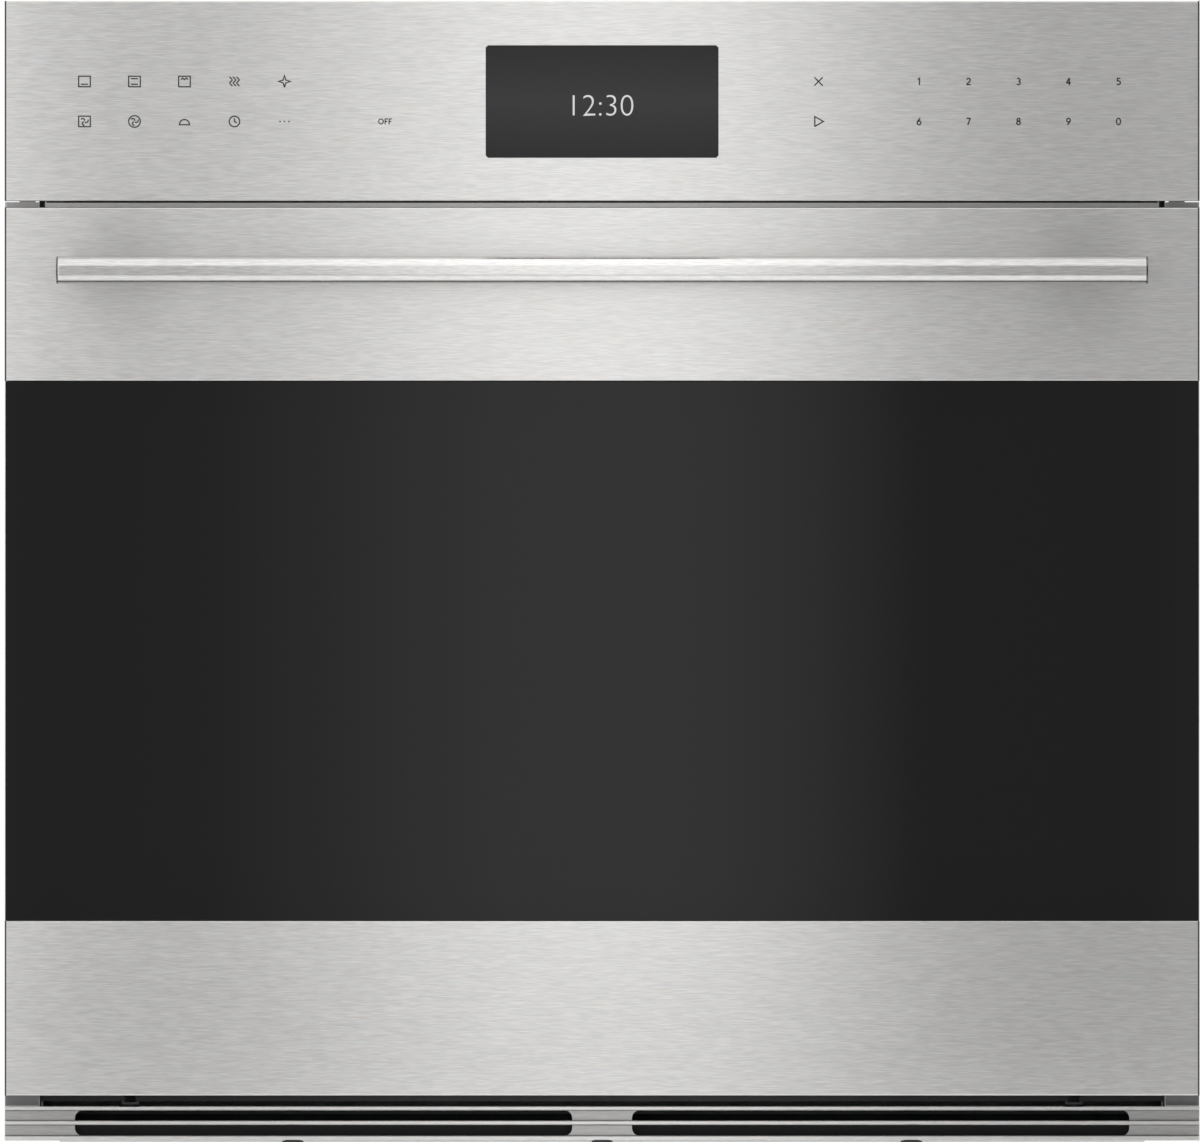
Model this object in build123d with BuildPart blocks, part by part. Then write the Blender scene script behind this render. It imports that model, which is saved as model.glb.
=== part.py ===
from build123d import *
from math import cos, pi, radians, sin, sqrt
import os

# A built-in electric wall oven with a drop-down door, in millimetres.
# X runs to the right, Y into the cabinet and Z up. The origin is where the cabinet's
# shelf meets the cabinet's face, midway between the oven's sides.

os.makedirs("parts", exist_ok=True)

# Front face
face_width = 759.0
trim_drop = 10.0
trim_height = 21.8
trim_gap = 6.8
door_height = 564.2
fascia_gap = 4.1
fascia_height = 127.1
upper_skin_height = 110.2
lower_skin_height = 111.1
slab_depth = 22.0
slab_gap = 5.0
skin_sheet = 1.2
edge_radius = 1.0

# Casing
flange_width = 21.7
top_overlap = 18.0
chassis_depth = 557.0
casing_sheet = 1.0
casing_lip = 15.0
panel_setback = 2.0
frame_setback = 20.0
frame_sheet = 1.2
frame_seam = 5.0
frame_drop = 3.9
side_vents = 4
side_vent_pitch = 30.0
side_vent_length = 56.0
side_vent_inset = 110.0
top_vents = 7
top_vent_pitch = 18.0
top_vent_length = 90.0
back_vents = 7
back_vent_pitch = 22.0
back_vent_length = 60.0
casing_vent_width = 8.0

# Cavity
insulation = 28.0
liner_sheet = 1.2
air_gap = 6.6
sill_height = 85.4
head_height = 48.8
back_space = 61.0
cavity_corner = 18.0
deck_gap = 46.0

# Sides of bars, screws and cans that are not turned round
hex_sides = 6
nut_sides = 8
can_sides = 12

# Clearances
fit = 0.3
soft_gap = 0.5
touch = 0.05
running = 0.05

# Face levels
face_half = face_width / 2
trim_bottom = -trim_drop
trim_top = trim_bottom + trim_height
door_bottom = trim_top + trim_gap
door_top = door_bottom + door_height
lower_skin_top = door_bottom + lower_skin_height
upper_skin_bottom = door_top - upper_skin_height
fascia_bottom = door_top + fascia_gap
fascia_top = fascia_bottom + fascia_height
slab_back = -slab_gap
slab_front = slab_back - slab_depth

# Casing levels
chassis_half = face_half - flange_width
inner_half = chassis_half - casing_sheet
chassis_top = fascia_top - top_overlap
cover_inside = chassis_depth - casing_sheet
frame_front = frame_setback
frame_back = frame_front + frame_sheet
frame_bottom = door_bottom - frame_drop

# Cavity levels
cavity_half = inner_half - air_gap - insulation - soft_gap - liner_sheet
cavity_floor = door_bottom + sill_height
cavity_ceiling = door_top - head_height
cavity_middle = (cavity_floor + cavity_ceiling) / 2
cavity_back = chassis_depth - back_space
liner_back = cavity_back + liner_sheet
deck_bottom = cavity_ceiling + deck_gap
deck_top = deck_bottom + casing_sheet

# Cabinet flange
flange_sheet = 1.5
lip_width = 2.2
lip_depth = 1.0
leg_sheet = 1.2
flange_clearance = 0.6
tab_width = 10.2
tab_rise = 14.0
tab_inset = 2.0
screw_hole_radius = 2.25
screw_spacing = 400.0
screw_inset = 11.0
screw_height = (trim_top + fascia_bottom) / 2

# Bottom vent trim
fin_front = -20.0
trim_plate_front = -12.0
trim_plate_sheet = 1.2
top_fin = 2.6
middle_fin = 2.6
bottom_fin = 3.0
fin_bevel = 0.5
vent_inner = 19.0
vent_outer_inset = 44.5
vent_corner = 5.0
bumper_radius = 6.7
bumper_height = 2.5
bumper_spacing = 196.5

# Control panel
window_width = 147.9
window_height = 71.5
window_rise = 27.4
window_corner = 1.5
display_border = 8.0
display_sheet = 1.6
lens_recess = 0.3
board_inset = 79.5
board_height = 92.0
board_sheet = 1.6
module_depth = 9.0
bracket_sheet = 1.2
bracket_shelf_inset = 26.0

# Upper rail
rail_front = -2.5
rail_height = 24.0
rail_overlap = 11.0
rail_inset = 25.5
rail_slot_drop = 1.0
rail_slot_rise = 2.0
rail_slot_margin = 12.0

# Door
glass_sheet = 5.0
glass_recess = 0.5
glass_inset = 0.6
return_depth = 16.0
side_rail_width = 14.0
plug_margin = 24.0
plug_face = 14.0
plug_bevel = 1.5
plug_corner = 30.0
window_side = 40.0
window_sill = 46.0
window_head = 64.0
pane_overlap = 15.0
pane_sheet = 4.0
spacer_depth = 6.0
spacer_width = 10.0
gasket_width = 10.0
gasket_inset = 8.0

# Handle
handle_radius = 8.75
handle_inset = 33.1
handle_reach = 39.0
handle_drop = 40.0
post_radius = 6.5
post_inset = 60.5
post_flat = 1.2
handle_screw_radius = 2.5
handle_screw_head = 5.0
handle_screw_depth = 14.0

# Door hinge
hinge_inset = 57.8
hinge_back = 11.0
hinge_rise = 7.4
hinge_pin_radius = 2.5
arm_sheet = 5.0
arm_boss = 7.0
arm_half = 6.5
arm_reach = 70.0
crank_back = 6.0
crank_rise = 6.0
crank_radius = 1.5
crank_boss = 4.0
channel_gap = 4.0
channel_sheet = 1.5
channel_front = 3.5
slot_clearance = 1.0
notch_rise = 24.0
rod_half = 1.5
rod_rise = 27.4
rod_tail = 6.0
eye_sheet = 1.0
eye_wall = 1.2
abutment_rise = 46.0
abutment_sheet = 2.0
spring_drop = 14.0
spring_radius = 3.2
washer_sheet = 3.0
roller_radius = 2.5
roller_depth = 50.0
receiver_depth = 75.0
receiver_height = 42.0
receiver_floor = 12.6
receiver_flange = 12.0

# Racks and their ladders
rack_wire = 3.0
rod_wire = 2.0
cross_wire = 2.5
rack_rods = 13
rack_corner = 14.0
rack_front_gap = 23.8
rack_back_gap = 24.0
rack_side_gap = 10.5
ladder_post = 3.0
ladder_rail = 2.5
ladder_front_gap = 38.8
ladder_back_gap = 22.0
ladder_first = 60.0
ladder_step = 74.0
ladder_levels = 5
ladder_pair = 14.0
wire_sides = 8

# Heating, fans and lamps
element_radius = 3.2
broil_drop = 26.0
broil_side_gap = 110.5
broil_turn = 24.0
bake_side_gap = 90.5
element_front_gap = 68.8
element_back_gap = 22.0
bake_turn = 60.0
bake_space = 8.0
terminal_length = 14.0
fan_inset = 142.0
fan_radius = 66.0
fan_depth = 22.0
fan_blades = 8
fan_sides = 20
blade_length = 28.0
blade_angle = 24.0
fan_sheet = 1.2
fan_gap = 6.0
hub_radius = 10.0
shaft_radius = 4.0
shaft_length = 22.0
motor_half = 30.0
motor_depth = 46.0
motor_flange = 46.0
ring_radius = 84.0
ring_depth = 20.0
ring_opening = 12.0
ring_steps = 12
baffle_depth = 44.0
baffle_side_gap = 28.5
baffle_margin = 55.0
baffle_sheet = 1.0
grille_radius = 36.0
grille_slots = 6
grille_length = 36.0
grille_width = 7.0
outlets = 4
outlet_inset = 24.0
outlet_pitch = 64.0
outlet_width = 12.0
outlet_length = 46.0
lamp_side_gap = 120.5
lamp_depth = 150.0
lamp_radius = 30.0
lamp_flange = 4.0
lens_drop = 6.0
can_height = 26.0
can_sheet = 0.8
bulb_radius = 6.0
bulb_length = 14.0
sensor_radius = 2.4
sensor_length = 100.0
sensor_collar = 7.2
sensor_side_gap = 50.5
sensor_gap = 15.0

# Cooling blower and electrics
blower_inset = 166.0
wheel_radius = 60.0
wheel_height = 34.0
wheel_blades = 14
vane_length = 12.0
vane_angle = 40.0
wheel_gap = 6.0
scroll_gap = 8.0
housing_height = 46.0
inlet_radius = 46.0
blower_motor_radius = 30.0
blower_motor_height = 34.0
blower_motor_gap = 8.0
blower_shaft = 3.0
leg_width = 12.0
relay_side_gap = 126.8
relay_inset = 236.0
relay_width = 180.0
relay_depth = 120.0
standoff_height = 8.0
standoff_radius = 4.0
relay_height = 18.0
junction_side_gap = 106.8
junction_rise = 60.0
junction_width = 110.0
junction_height = 70.0
junction_border = 10.0
conduit_radius = 11.1
terminal_inset = 56.0
terminal_width = 66.0
terminal_depth = 28.0
terminal_pitch = 20.0
latch_y = 45.0
latch_drop = 14.8
latch_sheet = 3.0
latch_half = 4.0
latch_barb = 6.0
latch_nose = 4.0
latch_shaft = 3.0
latch_angle = 12.0
latch_motor_radius = 22.0
latch_motor_height = 30.0
switch_x = -120.0
plunger_radius = 3.0
plunger_length = 38.7
switch_depth = 26.0
switch_width = 20.0
switch_height = 8.0

# Screws of the casing
head_radius = 4.5
head_depth = 2.4
screw_edge = 14.0


# Shared shapes
def facing(y):
    """Plane across the oven at depth y, drawn in X and Z, looking out of the front."""
    return Plane.XZ.offset(-y)


def along(x):
    """Plane along the oven's depth at x, drawn in Y and Z, looking right."""
    return Plane.YZ.offset(x)


def level(z):
    """Level plane at height z, drawn in X and Y."""
    return Plane.XY.offset(z)


def block(x, y, z, mode=Mode.ADD):
    """A box between two limits along each axis."""
    with Locations(((x[0] + x[1]) / 2, (y[0] + y[1]) / 2, (z[0] + z[1]) / 2)):
        Box(x[1] - x[0], y[1] - y[0], z[1] - z[0], mode=mode)


def rod(start, end, radius, sides=0, mode=Mode.ADD):
    """A bar between two points, round unless it has a number of flat sides."""
    line = Edge.make_line(start, end)
    with BuildSketch(Plane(origin=start, z_dir=line.tangent_at(0))) as section:
        if sides:
            RegularPolygon(radius, sides, major_radius=False, rotation=180 / sides)
        else:
            Circle(radius)
    extrude(to_extrude=section.sketch, amount=line.length, mode=mode)


def save(piece, name):
    """Labels a finished piece and writes it to its own file."""
    piece.part.label = name
    export_step(piece.part, f"parts/{name}.step")


# Casing panels
with BuildPart() as base_pan:
    block((-inner_half, inner_half), (0, cover_inside), (0, casing_sheet))
    for lip_side in (-1, 1):
        edges_x = sorted((lip_side * inner_half, lip_side * (inner_half - casing_sheet)))
        block(edges_x, (frame_back + casing_lip, cover_inside), (0, casing_lip))
    block((-inner_half, inner_half), (cover_inside - casing_sheet, cover_inside), (0, casing_lip))
save(base_pan, "base_pan")

bay_middle = (deck_top + chassis_top) / 2
side_vent_y = chassis_depth - side_vent_inset
with BuildPart() as side_panels:
    for panel_side in (-1, 1):
        with BuildSketch(along(panel_side * chassis_half)) as panel_outline:
            with Locations(((panel_setback + chassis_depth) / 2, (chassis_top - casing_sheet) / 2)):
                Rectangle(chassis_depth - panel_setback, chassis_top - casing_sheet)
            with Locations((side_vent_y, bay_middle)):
                with GridLocations(side_vent_pitch, 1, side_vents, 1):
                    Rectangle(casing_vent_width, side_vent_length, mode=Mode.SUBTRACT)
        extrude(amount=-panel_side * casing_sheet)
save(side_panels, "side_panels")

blower_y = cover_inside - blower_inset
with BuildPart() as top_cover:
    with BuildSketch(level(chassis_top - casing_sheet)) as top_outline:
        with Locations((0, (panel_setback + chassis_depth) / 2)):
            Rectangle(2 * chassis_half, chassis_depth - panel_setback)
        with Locations((0, blower_y)):
            with GridLocations(top_vent_pitch, 1, top_vents, 1):
                Rectangle(casing_vent_width, top_vent_length, mode=Mode.SUBTRACT)
    extrude(amount=casing_sheet)
save(top_cover, "top_cover")

junction_x = inner_half - junction_side_gap
junction_z = deck_top + junction_rise
with BuildPart() as back_cover:
    with BuildSketch(facing(chassis_depth)) as back_outline:
        with Locations((0, chassis_top / 2)):
            Rectangle(2 * inner_half, chassis_top - 2 * casing_sheet)
        with Locations((0, bay_middle)):
            with GridLocations(back_vent_pitch, 1, back_vents, 1):
                Rectangle(casing_vent_width, back_vent_length, mode=Mode.SUBTRACT)
        with Locations((junction_x, junction_z)):
            Rectangle(
                junction_width - 2 * junction_border,
                junction_height - 2 * junction_border,
                mode=Mode.SUBTRACT,
            )
    extrude(amount=casing_sheet)
save(back_cover, "back_cover")

with BuildPart() as junction_plate:
    with BuildSketch(facing(chassis_depth + casing_sheet)) as junction_outline:
        with Locations((junction_x, junction_z)):
            Rectangle(junction_width, junction_height)
            Circle(conduit_radius, mode=Mode.SUBTRACT)
    extrude(amount=casing_sheet)
save(junction_plate, "junction_plate")

# Hinge and lock places, used by several pieces
hinge_x = chassis_half - hinge_inset
hinge_y = slab_back - hinge_back
hinge_z = door_bottom + hinge_rise
channel_top = lower_skin_top - skin_sheet - slot_clearance
abutment_height = door_bottom + abutment_rise
spring_top = channel_top - spring_drop
rod_bottom = door_bottom + rod_rise
rod_top = spring_top + rod_tail
notch_half = channel_gap + channel_sheet + slot_clearance
latch_z = door_top - latch_drop
latch_swing = radians(latch_angle)
lock_shift = (latch_y - slab_back) * sin(latch_swing)
lock_slot_left = -latch_half - 3 * slot_clearance
lock_slot_right = lock_shift + latch_half + 2 * slot_clearance
lock_slot_half = latch_sheet / 2 + 4 * slot_clearance
brim_front = slab_back - frame_sheet
barb_gap = 2 * fit + (latch_half + latch_barb) * sin(latch_swing)
barb_back = latch_y - (latch_y - brim_front + barb_gap) / cos(latch_swing)
latch_tip = barb_back - latch_nose

# Front frame: two stiles with a sill and a head between them
with BuildPart() as front_frame:
    frame_height = chassis_top - casing_sheet - frame_bottom
    with BuildSketch(facing(frame_back)) as frame_outline:
        with Locations((0, frame_bottom + frame_height / 2)):
            Rectangle(2 * inner_half, frame_height)
        with Locations((0, cavity_middle)):
            RectangleRounded(
                2 * cavity_half, cavity_ceiling - cavity_floor, cavity_corner, mode=Mode.SUBTRACT
            )
        arm_slot_top = hinge_z + arm_half + 2 * slot_clearance
        with Locations((-hinge_x, frame_bottom), (hinge_x, frame_bottom)):
            Rectangle(
                arm_sheet + 2 * slot_clearance, 2 * (arm_slot_top - frame_bottom), mode=Mode.SUBTRACT
            )
        with Locations(((lock_slot_left + lock_slot_right) / 2, latch_z)):
            Rectangle(lock_slot_right - lock_slot_left, 2 * lock_slot_half, mode=Mode.SUBTRACT)
        with Locations((switch_x, latch_z)):
            plunger_hole = 2 * (plunger_radius + fit)
            Rectangle(plunger_hole, plunger_hole, mode=Mode.SUBTRACT)
    extrude(amount=frame_sheet)
    for flange_side in (-1, 1):
        flange_x = sorted((flange_side * inner_half, flange_side * (inner_half - frame_sheet)))
        block(flange_x, (frame_back, frame_back + casing_lip), (frame_bottom, chassis_top - casing_sheet))
        seam_start = cavity_half - cavity_corner + frame_seam
        seam_x = sorted((flange_side * seam_start, flange_side * (seam_start + touch)))
        block(seam_x, (frame_front, frame_back), (frame_bottom, chassis_top - casing_sheet), Mode.SUBTRACT)
save(front_frame, "front_frame")

# Upper rail, seen through the gap above the door, with its outlet for cooling air
rail_top = fascia_bottom + rail_overlap + flange_sheet
rail_half = face_half - rail_inset
with BuildPart() as upper_rail:
    rail_bottom = rail_top - rail_height
    block((-rail_half, rail_half), (rail_front, rail_front + frame_sheet), (rail_bottom, rail_top))
    block((-rail_half, rail_half), (rail_front, frame_front), (rail_top - frame_sheet, rail_top))
    rail_slot_half = rail_half - rail_slot_margin
    rail_slot_z = (fascia_bottom - rail_slot_drop, fascia_bottom + rail_slot_rise)
    block((-rail_slot_half, rail_slot_half), (rail_front, rail_front + frame_sheet), rail_slot_z, Mode.SUBTRACT)
save(upper_rail, "upper_rail")

# Side trims, the flanges that lie on the cabinet's face
flange_top = fascia_bottom - flange_clearance
screw_x = face_half - screw_inset
with BuildPart() as side_trims:
    for trim_side in (-1, 1):
        inner_x = chassis_half + fit
        flange_x = sorted((trim_side * inner_x, trim_side * face_half))
        block(flange_x, (-flange_sheet, 0), (trim_top + touch, flange_top))
        lip_x = sorted((trim_side * (face_half - lip_width), trim_side * face_half))
        block(lip_x, (-flange_sheet - lip_depth, -flange_sheet), (trim_top + touch, flange_top))
        leg_x = sorted((trim_side * inner_x, trim_side * (inner_x + leg_sheet)))
        block(leg_x, (0, frame_front), (trim_top + touch, flange_top))
        tab_start = inner_x + tab_inset
        tab_x = sorted((trim_side * tab_start, trim_side * (tab_start + tab_width)))
        block(tab_x, (-flange_sheet, 0), (flange_top, flange_top + tab_rise))
        for screw_side in (-1, 1):
            hole_z = screw_height + screw_side * screw_spacing / 2
            rod(
                (trim_side * screw_x, leg_sheet, hole_z),
                (trim_side * screw_x, -flange_sheet - leg_sheet, hole_z),
                screw_hole_radius,
                mode=Mode.SUBTRACT,
            )
save(side_trims, "side_trims")

# Bottom vent trim with its fins and slots
plate_back = trim_plate_front + trim_plate_sheet
middle_fin_bottom = 0.0
vent_bottom = trim_bottom + bottom_fin
vent_top = trim_top - top_fin
vent_outer = face_half - vent_outer_inset
with BuildPart() as bottom_vent_trim:
    with BuildSketch(facing(plate_back)) as trim_outline:
        with Locations((0, (trim_bottom + trim_top) / 2)):
            Rectangle(face_width, trim_height)
        for vent_side in (-1, 1):
            with Locations((vent_side * (vent_inner + vent_outer) / 2, (vent_bottom + vent_top) / 2)):
                RectangleRounded(
                    vent_outer - vent_inner, vent_top - vent_bottom, vent_corner, mode=Mode.SUBTRACT
                )
    extrude(amount=trim_plate_sheet)
    block((-face_half, face_half), (fin_front, plate_back), (trim_top - top_fin, trim_top))
    middle_fin_z = (middle_fin_bottom, middle_fin_bottom + middle_fin)
    block((-face_half, face_half), (fin_front, plate_back), middle_fin_z)
    block((-face_half, face_half), (fin_front, 0), (trim_bottom, trim_bottom + bottom_fin))
    for web_x in (-vent_outer - vent_corner, -vent_inner + vent_corner, vent_inner - vent_corner,
                  vent_outer + vent_corner):
        web_limits = (web_x - trim_plate_sheet, web_x + trim_plate_sheet)
        block(web_limits, (plate_back, 0), (trim_bottom, middle_fin_bottom + middle_fin))
    duct_half = vent_outer + vent_corner
    block((-duct_half, duct_half), (-trim_plate_sheet, 0), (trim_bottom, middle_fin_bottom))
    chamfer(bottom_vent_trim.edges().filter_by(Axis.X).group_by(Axis.Y)[0], fin_bevel)
save(bottom_vent_trim, "bottom_vent_trim")

with BuildPart() as trim_bumpers:
    bumper_y = (fin_front + plate_back) / 2
    for place in (-bumper_spacing, 0, bumper_spacing):
        bumper_foot = (place, bumper_y, trim_bottom - bumper_height)
        rod((place, bumper_y, trim_bottom), bumper_foot, bumper_radius, can_sides)
save(trim_bumpers, "trim_bumpers")

# Control fascia and what is behind it
window_z = fascia_bottom + window_rise + window_height / 2
with BuildPart() as control_fascia:
    block((-face_half, face_half), (slab_front, slab_back), (fascia_bottom, fascia_top))
    fillet(control_fascia.faces().sort_by(Axis.Y)[0].edges(), edge_radius)
    block(
        (skin_sheet - face_half, face_half - skin_sheet),
        (slab_front + skin_sheet, slab_back),
        (fascia_bottom + skin_sheet, fascia_top - skin_sheet),
        mode=Mode.SUBTRACT,
    )
    with BuildSketch(facing(slab_back)) as window_cut:
        with Locations((0, window_z)):
            Rectangle(window_width, window_height)
        chamfer(window_cut.vertices(), window_corner)
    extrude(amount=slab_depth, mode=Mode.SUBTRACT)
save(control_fascia, "control_fascia")

fascia_inside = slab_front + skin_sheet
with BuildPart() as display_glass:
    with BuildSketch(facing(fascia_inside + touch)) as lens_outline:
        with Locations((0, window_z)):
            Rectangle(window_width - 2 * fit, window_height - 2 * fit)
        chamfer(lens_outline.vertices(), window_corner)
    extrude(amount=skin_sheet + touch - lens_recess)
    with BuildSketch(facing(fascia_inside + touch + display_sheet)) as lens_flange:
        with Locations((0, window_z)):
            Rectangle(window_width + 2 * display_border, window_height + 2 * display_border)
    extrude(amount=display_sheet)
save(display_glass, "display_glass")

module_back = fascia_inside + touch + display_sheet + touch + module_depth
board_half = face_half - board_inset
with BuildPart() as control_board:
    block(
        (-window_width / 2, window_width / 2),
        (module_back - module_depth, module_back),
        (window_z - window_height / 2, window_z + window_height / 2),
    )
    board_z = (window_z - board_height / 2, window_z + board_height / 2)
    block((-board_half, board_half), (module_back, module_back + board_sheet), board_z)
save(control_board, "control_board")

with BuildPart() as control_bracket:
    bracket_half = face_half - skin_sheet - fit
    bracket_z = (fascia_bottom + skin_sheet + fit, fascia_top - skin_sheet - fit)
    block((-bracket_half, bracket_half), (slab_back - bracket_sheet, slab_back), bracket_z)
    block(
        (-window_width, window_width),
        (slab_back - bracket_sheet, slab_back),
        (window_z - window_height / 4, window_z + window_height / 4),
        mode=Mode.SUBTRACT,
    )
    for shelf_z in (fascia_bottom + bracket_shelf_inset, chassis_top - casing_sheet - bracket_sheet):
        block((-rail_half, rail_half), (slab_back, frame_front), (shelf_z - bracket_sheet, shelf_z))
    for foot_x in (-2 * board_half / 3, 2 * board_half / 3):
        foot_limits = (foot_x - leg_width / 2, foot_x + leg_width / 2)
        block(foot_limits, (module_back + board_sheet, slab_back - bracket_sheet), board_z)
save(control_bracket, "control_bracket")

# Cavity liner
baffle_half = cavity_half - baffle_side_gap
baffle_front = cavity_back - baffle_depth
baffle_bottom = cavity_floor + baffle_margin
baffle_top = cavity_ceiling - baffle_margin
fan_side = baffle_half - fan_inset
fan_places = [(-fan_side, cavity_middle), (fan_side, cavity_middle)]
lamp_side = cavity_half - lamp_side_gap
lamp_places = [(-lamp_side, lamp_depth), (lamp_side, lamp_depth)]
broil_half = cavity_half - broil_side_gap
broil_z = cavity_ceiling - broil_drop
ring_gap = radians(ring_opening)
ring_ends = [
    (fan_x + ring_side * ring_radius * sin(ring_gap), fan_z + ring_radius * cos(ring_gap))
    for fan_x, fan_z in fan_places
    for ring_side in (-1, 1)
]
sensor_x = sensor_side_gap - cavity_half
sensor_z = baffle_top + sensor_gap
liner_outer_half = cavity_half + liner_sheet
cavity_height = cavity_ceiling - cavity_floor
with BuildPart() as cavity_liner:
    with BuildSketch(facing(liner_back)) as liner_outline:
        with Locations((0, cavity_middle)):
            RectangleRounded(
                2 * liner_outer_half, cavity_height + 2 * liner_sheet, cavity_corner + liner_sheet
            )
    extrude(amount=liner_back - frame_back)
    with BuildSketch(facing(cavity_back)) as liner_inside:
        with Locations((0, cavity_middle)):
            RectangleRounded(2 * cavity_half, cavity_height, cavity_corner)
    extrude(amount=cavity_back - frame_back, mode=Mode.SUBTRACT)
    with BuildSketch(facing(liner_back)) as wall_holes:
        with Locations(*fan_places):
            RegularPolygon(shaft_radius + 2 * slot_clearance, can_sides)
        leg_hole = 2 * (element_radius + fit)
        with Locations(*ring_ends, (-broil_half, broil_z), (broil_half, broil_z)):
            Rectangle(leg_hole, leg_hole)
        with Locations((sensor_x, sensor_z)):
            RegularPolygon(sensor_radius + fit, nut_sides, major_radius=False)
    extrude(amount=liner_sheet, mode=Mode.SUBTRACT)
    with BuildSketch(level(cavity_ceiling)) as lamp_holes:
        with Locations(*lamp_places):
            RegularPolygon(lamp_radius, can_sides)
    extrude(amount=liner_sheet, mode=Mode.SUBTRACT)
save(cavity_liner, "cavity_liner")

# Insulation round the cavity
blanket_inner = liner_outer_half + soft_gap
blanket_front = frame_back + soft_gap
blanket_floor = cavity_floor - liner_sheet - bake_space
blanket_ceiling = cavity_ceiling + liner_sheet + soft_gap
blanket_rear = liner_back + soft_gap
blanket_middle = (blanket_floor + blanket_ceiling) / 2
blanket_height = blanket_ceiling - blanket_floor
with BuildPart() as insulation_blanket:
    with BuildSketch(facing(blanket_rear + insulation)) as blanket_outline:
        with Locations((0, blanket_middle)):
            Rectangle(2 * (blanket_inner + insulation), blanket_height + 2 * insulation)
    extrude(amount=blanket_rear + insulation - blanket_front)
    with BuildSketch(facing(blanket_rear)) as blanket_inside:
        with Locations((0, blanket_middle)):
            Rectangle(2 * blanket_inner, blanket_height)
    extrude(amount=blanket_rear - blanket_front, mode=Mode.SUBTRACT)
    with BuildSketch(facing(blanket_rear + insulation)) as blanket_holes:
        motor_hole = 2 * (motor_flange + 2 * soft_gap)
        with Locations(*fan_places):
            Rectangle(motor_hole, motor_hole)
        leg_space = 2 * (element_radius + 2 * soft_gap)
        with Locations(*ring_ends, (-broil_half, broil_z), (broil_half, broil_z)):
            Rectangle(leg_space, leg_space)
        with Locations((sensor_x, sensor_z)):
            Rectangle(2 * sensor_collar, 2 * sensor_collar)
    extrude(amount=insulation, mode=Mode.SUBTRACT)
    with BuildSketch(level(blanket_ceiling)) as can_holes:
        with Locations(*lamp_places):
            can_space = 2 * (lamp_radius + lamp_flange + soft_gap)
            Rectangle(can_space, can_space)
    extrude(amount=insulation, mode=Mode.SUBTRACT)
save(insulation_blanket, "insulation_blanket")

# Deck over the cavity
with BuildPart() as component_deck:
    with BuildSketch(level(deck_bottom)) as deck_outline:
        with Locations((0, (frame_back + cover_inside) / 2)):
            Rectangle(2 * (inner_half - frame_sheet - fit), cover_inside - frame_back)
        with Locations((0, latch_y)):
            shaft_hole = 2 * (latch_shaft + slot_clearance)
            Rectangle(shaft_hole, shaft_hole, mode=Mode.SUBTRACT)
    extrude(amount=casing_sheet)
    deck_half = inner_half - frame_sheet - fit
    for lip_side in (-1, 1):
        lip_x = sorted((lip_side * inner_half, lip_side * (inner_half - casing_sheet)))
        lip_y = (frame_back + casing_lip + fit, cover_inside)
        block(lip_x, lip_y, (deck_bottom, deck_top + casing_lip))
        join_x = sorted((lip_side * (deck_half - casing_sheet), lip_side * inner_half))
        block(join_x, lip_y, (deck_bottom, deck_top))
save(component_deck, "component_deck")

# Convection baffle, fans, motors and ring elements
with BuildPart() as convection_baffle:
    block(
        (-baffle_half, baffle_half),
        (baffle_front, cavity_back),
        (baffle_bottom, baffle_top),
    )
    block(
        (baffle_sheet - baffle_half, baffle_half - baffle_sheet),
        (baffle_front + baffle_sheet, cavity_back),
        (baffle_bottom + baffle_sheet, baffle_top - baffle_sheet),
        mode=Mode.SUBTRACT,
    )
    with BuildSketch(facing(baffle_front + baffle_sheet)) as grille:
        for fan_x, fan_z in fan_places:
            with Locations((fan_x, fan_z)):
                with PolarLocations(grille_radius, grille_slots):
                    Rectangle(grille_length, grille_width)
        for outlet_side in (-1, 1):
            with Locations((outlet_side * (baffle_half - outlet_inset), cavity_middle)):
                with GridLocations(1, outlet_pitch, 1, outlets):
                    Rectangle(outlet_width, outlet_length)
    extrude(amount=baffle_sheet, mode=Mode.SUBTRACT)
save(convection_baffle, "convection_baffle")

fan_rear = cavity_back - fan_gap
fan_front = fan_rear - fan_depth
motor_front = liner_back + touch
shaft_end = motor_front + shaft_length


def convection_fan(fan_x, fan_z):
    """A bladed wheel on its shaft."""
    with BuildPart() as fan:
        with BuildSketch(facing(fan_rear)) as disc:
            with Locations((fan_x, fan_z)):
                RegularPolygon(fan_radius, fan_sides)
        extrude(amount=fan_sheet)
        with BuildSketch(facing(fan_rear - fan_sheet)) as blades:
            with Locations((fan_x, fan_z)):
                with PolarLocations(fan_radius - blade_length * 0.6, fan_blades):
                    Rectangle(blade_length, fan_sheet, rotation=blade_angle)
        extrude(amount=fan_depth - fan_sheet)
        rod((fan_x, shaft_end, fan_z), (fan_x, fan_front, fan_z), shaft_radius)
        rod((fan_x, fan_rear, fan_z), (fan_x, fan_front + fan_sheet, fan_z), hub_radius, nut_sides)
    return fan


left_fan = convection_fan(*fan_places[0])
save(left_fan, "left_fan")

right_fan = convection_fan(*fan_places[1])
save(right_fan, "right_fan")

with BuildPart() as convection_motors:
    with BuildSketch(facing(motor_front + frame_sheet)) as motor_flanges:
        with Locations(*fan_places):
            Rectangle(2 * motor_flange, 2 * motor_flange)
    extrude(amount=frame_sheet)
    with BuildSketch(facing(motor_front + motor_depth)) as motor_bodies:
        with Locations(*fan_places):
            Rectangle(2 * motor_half, 2 * motor_half)
    extrude(amount=motor_depth)
    with BuildSketch(facing(shaft_end + slot_clearance)) as motor_bores:
        with Locations(*fan_places):
            Circle(shaft_radius + running)
    extrude(amount=shaft_length + slot_clearance, mode=Mode.SUBTRACT)
save(convection_motors, "convection_motors")

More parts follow.
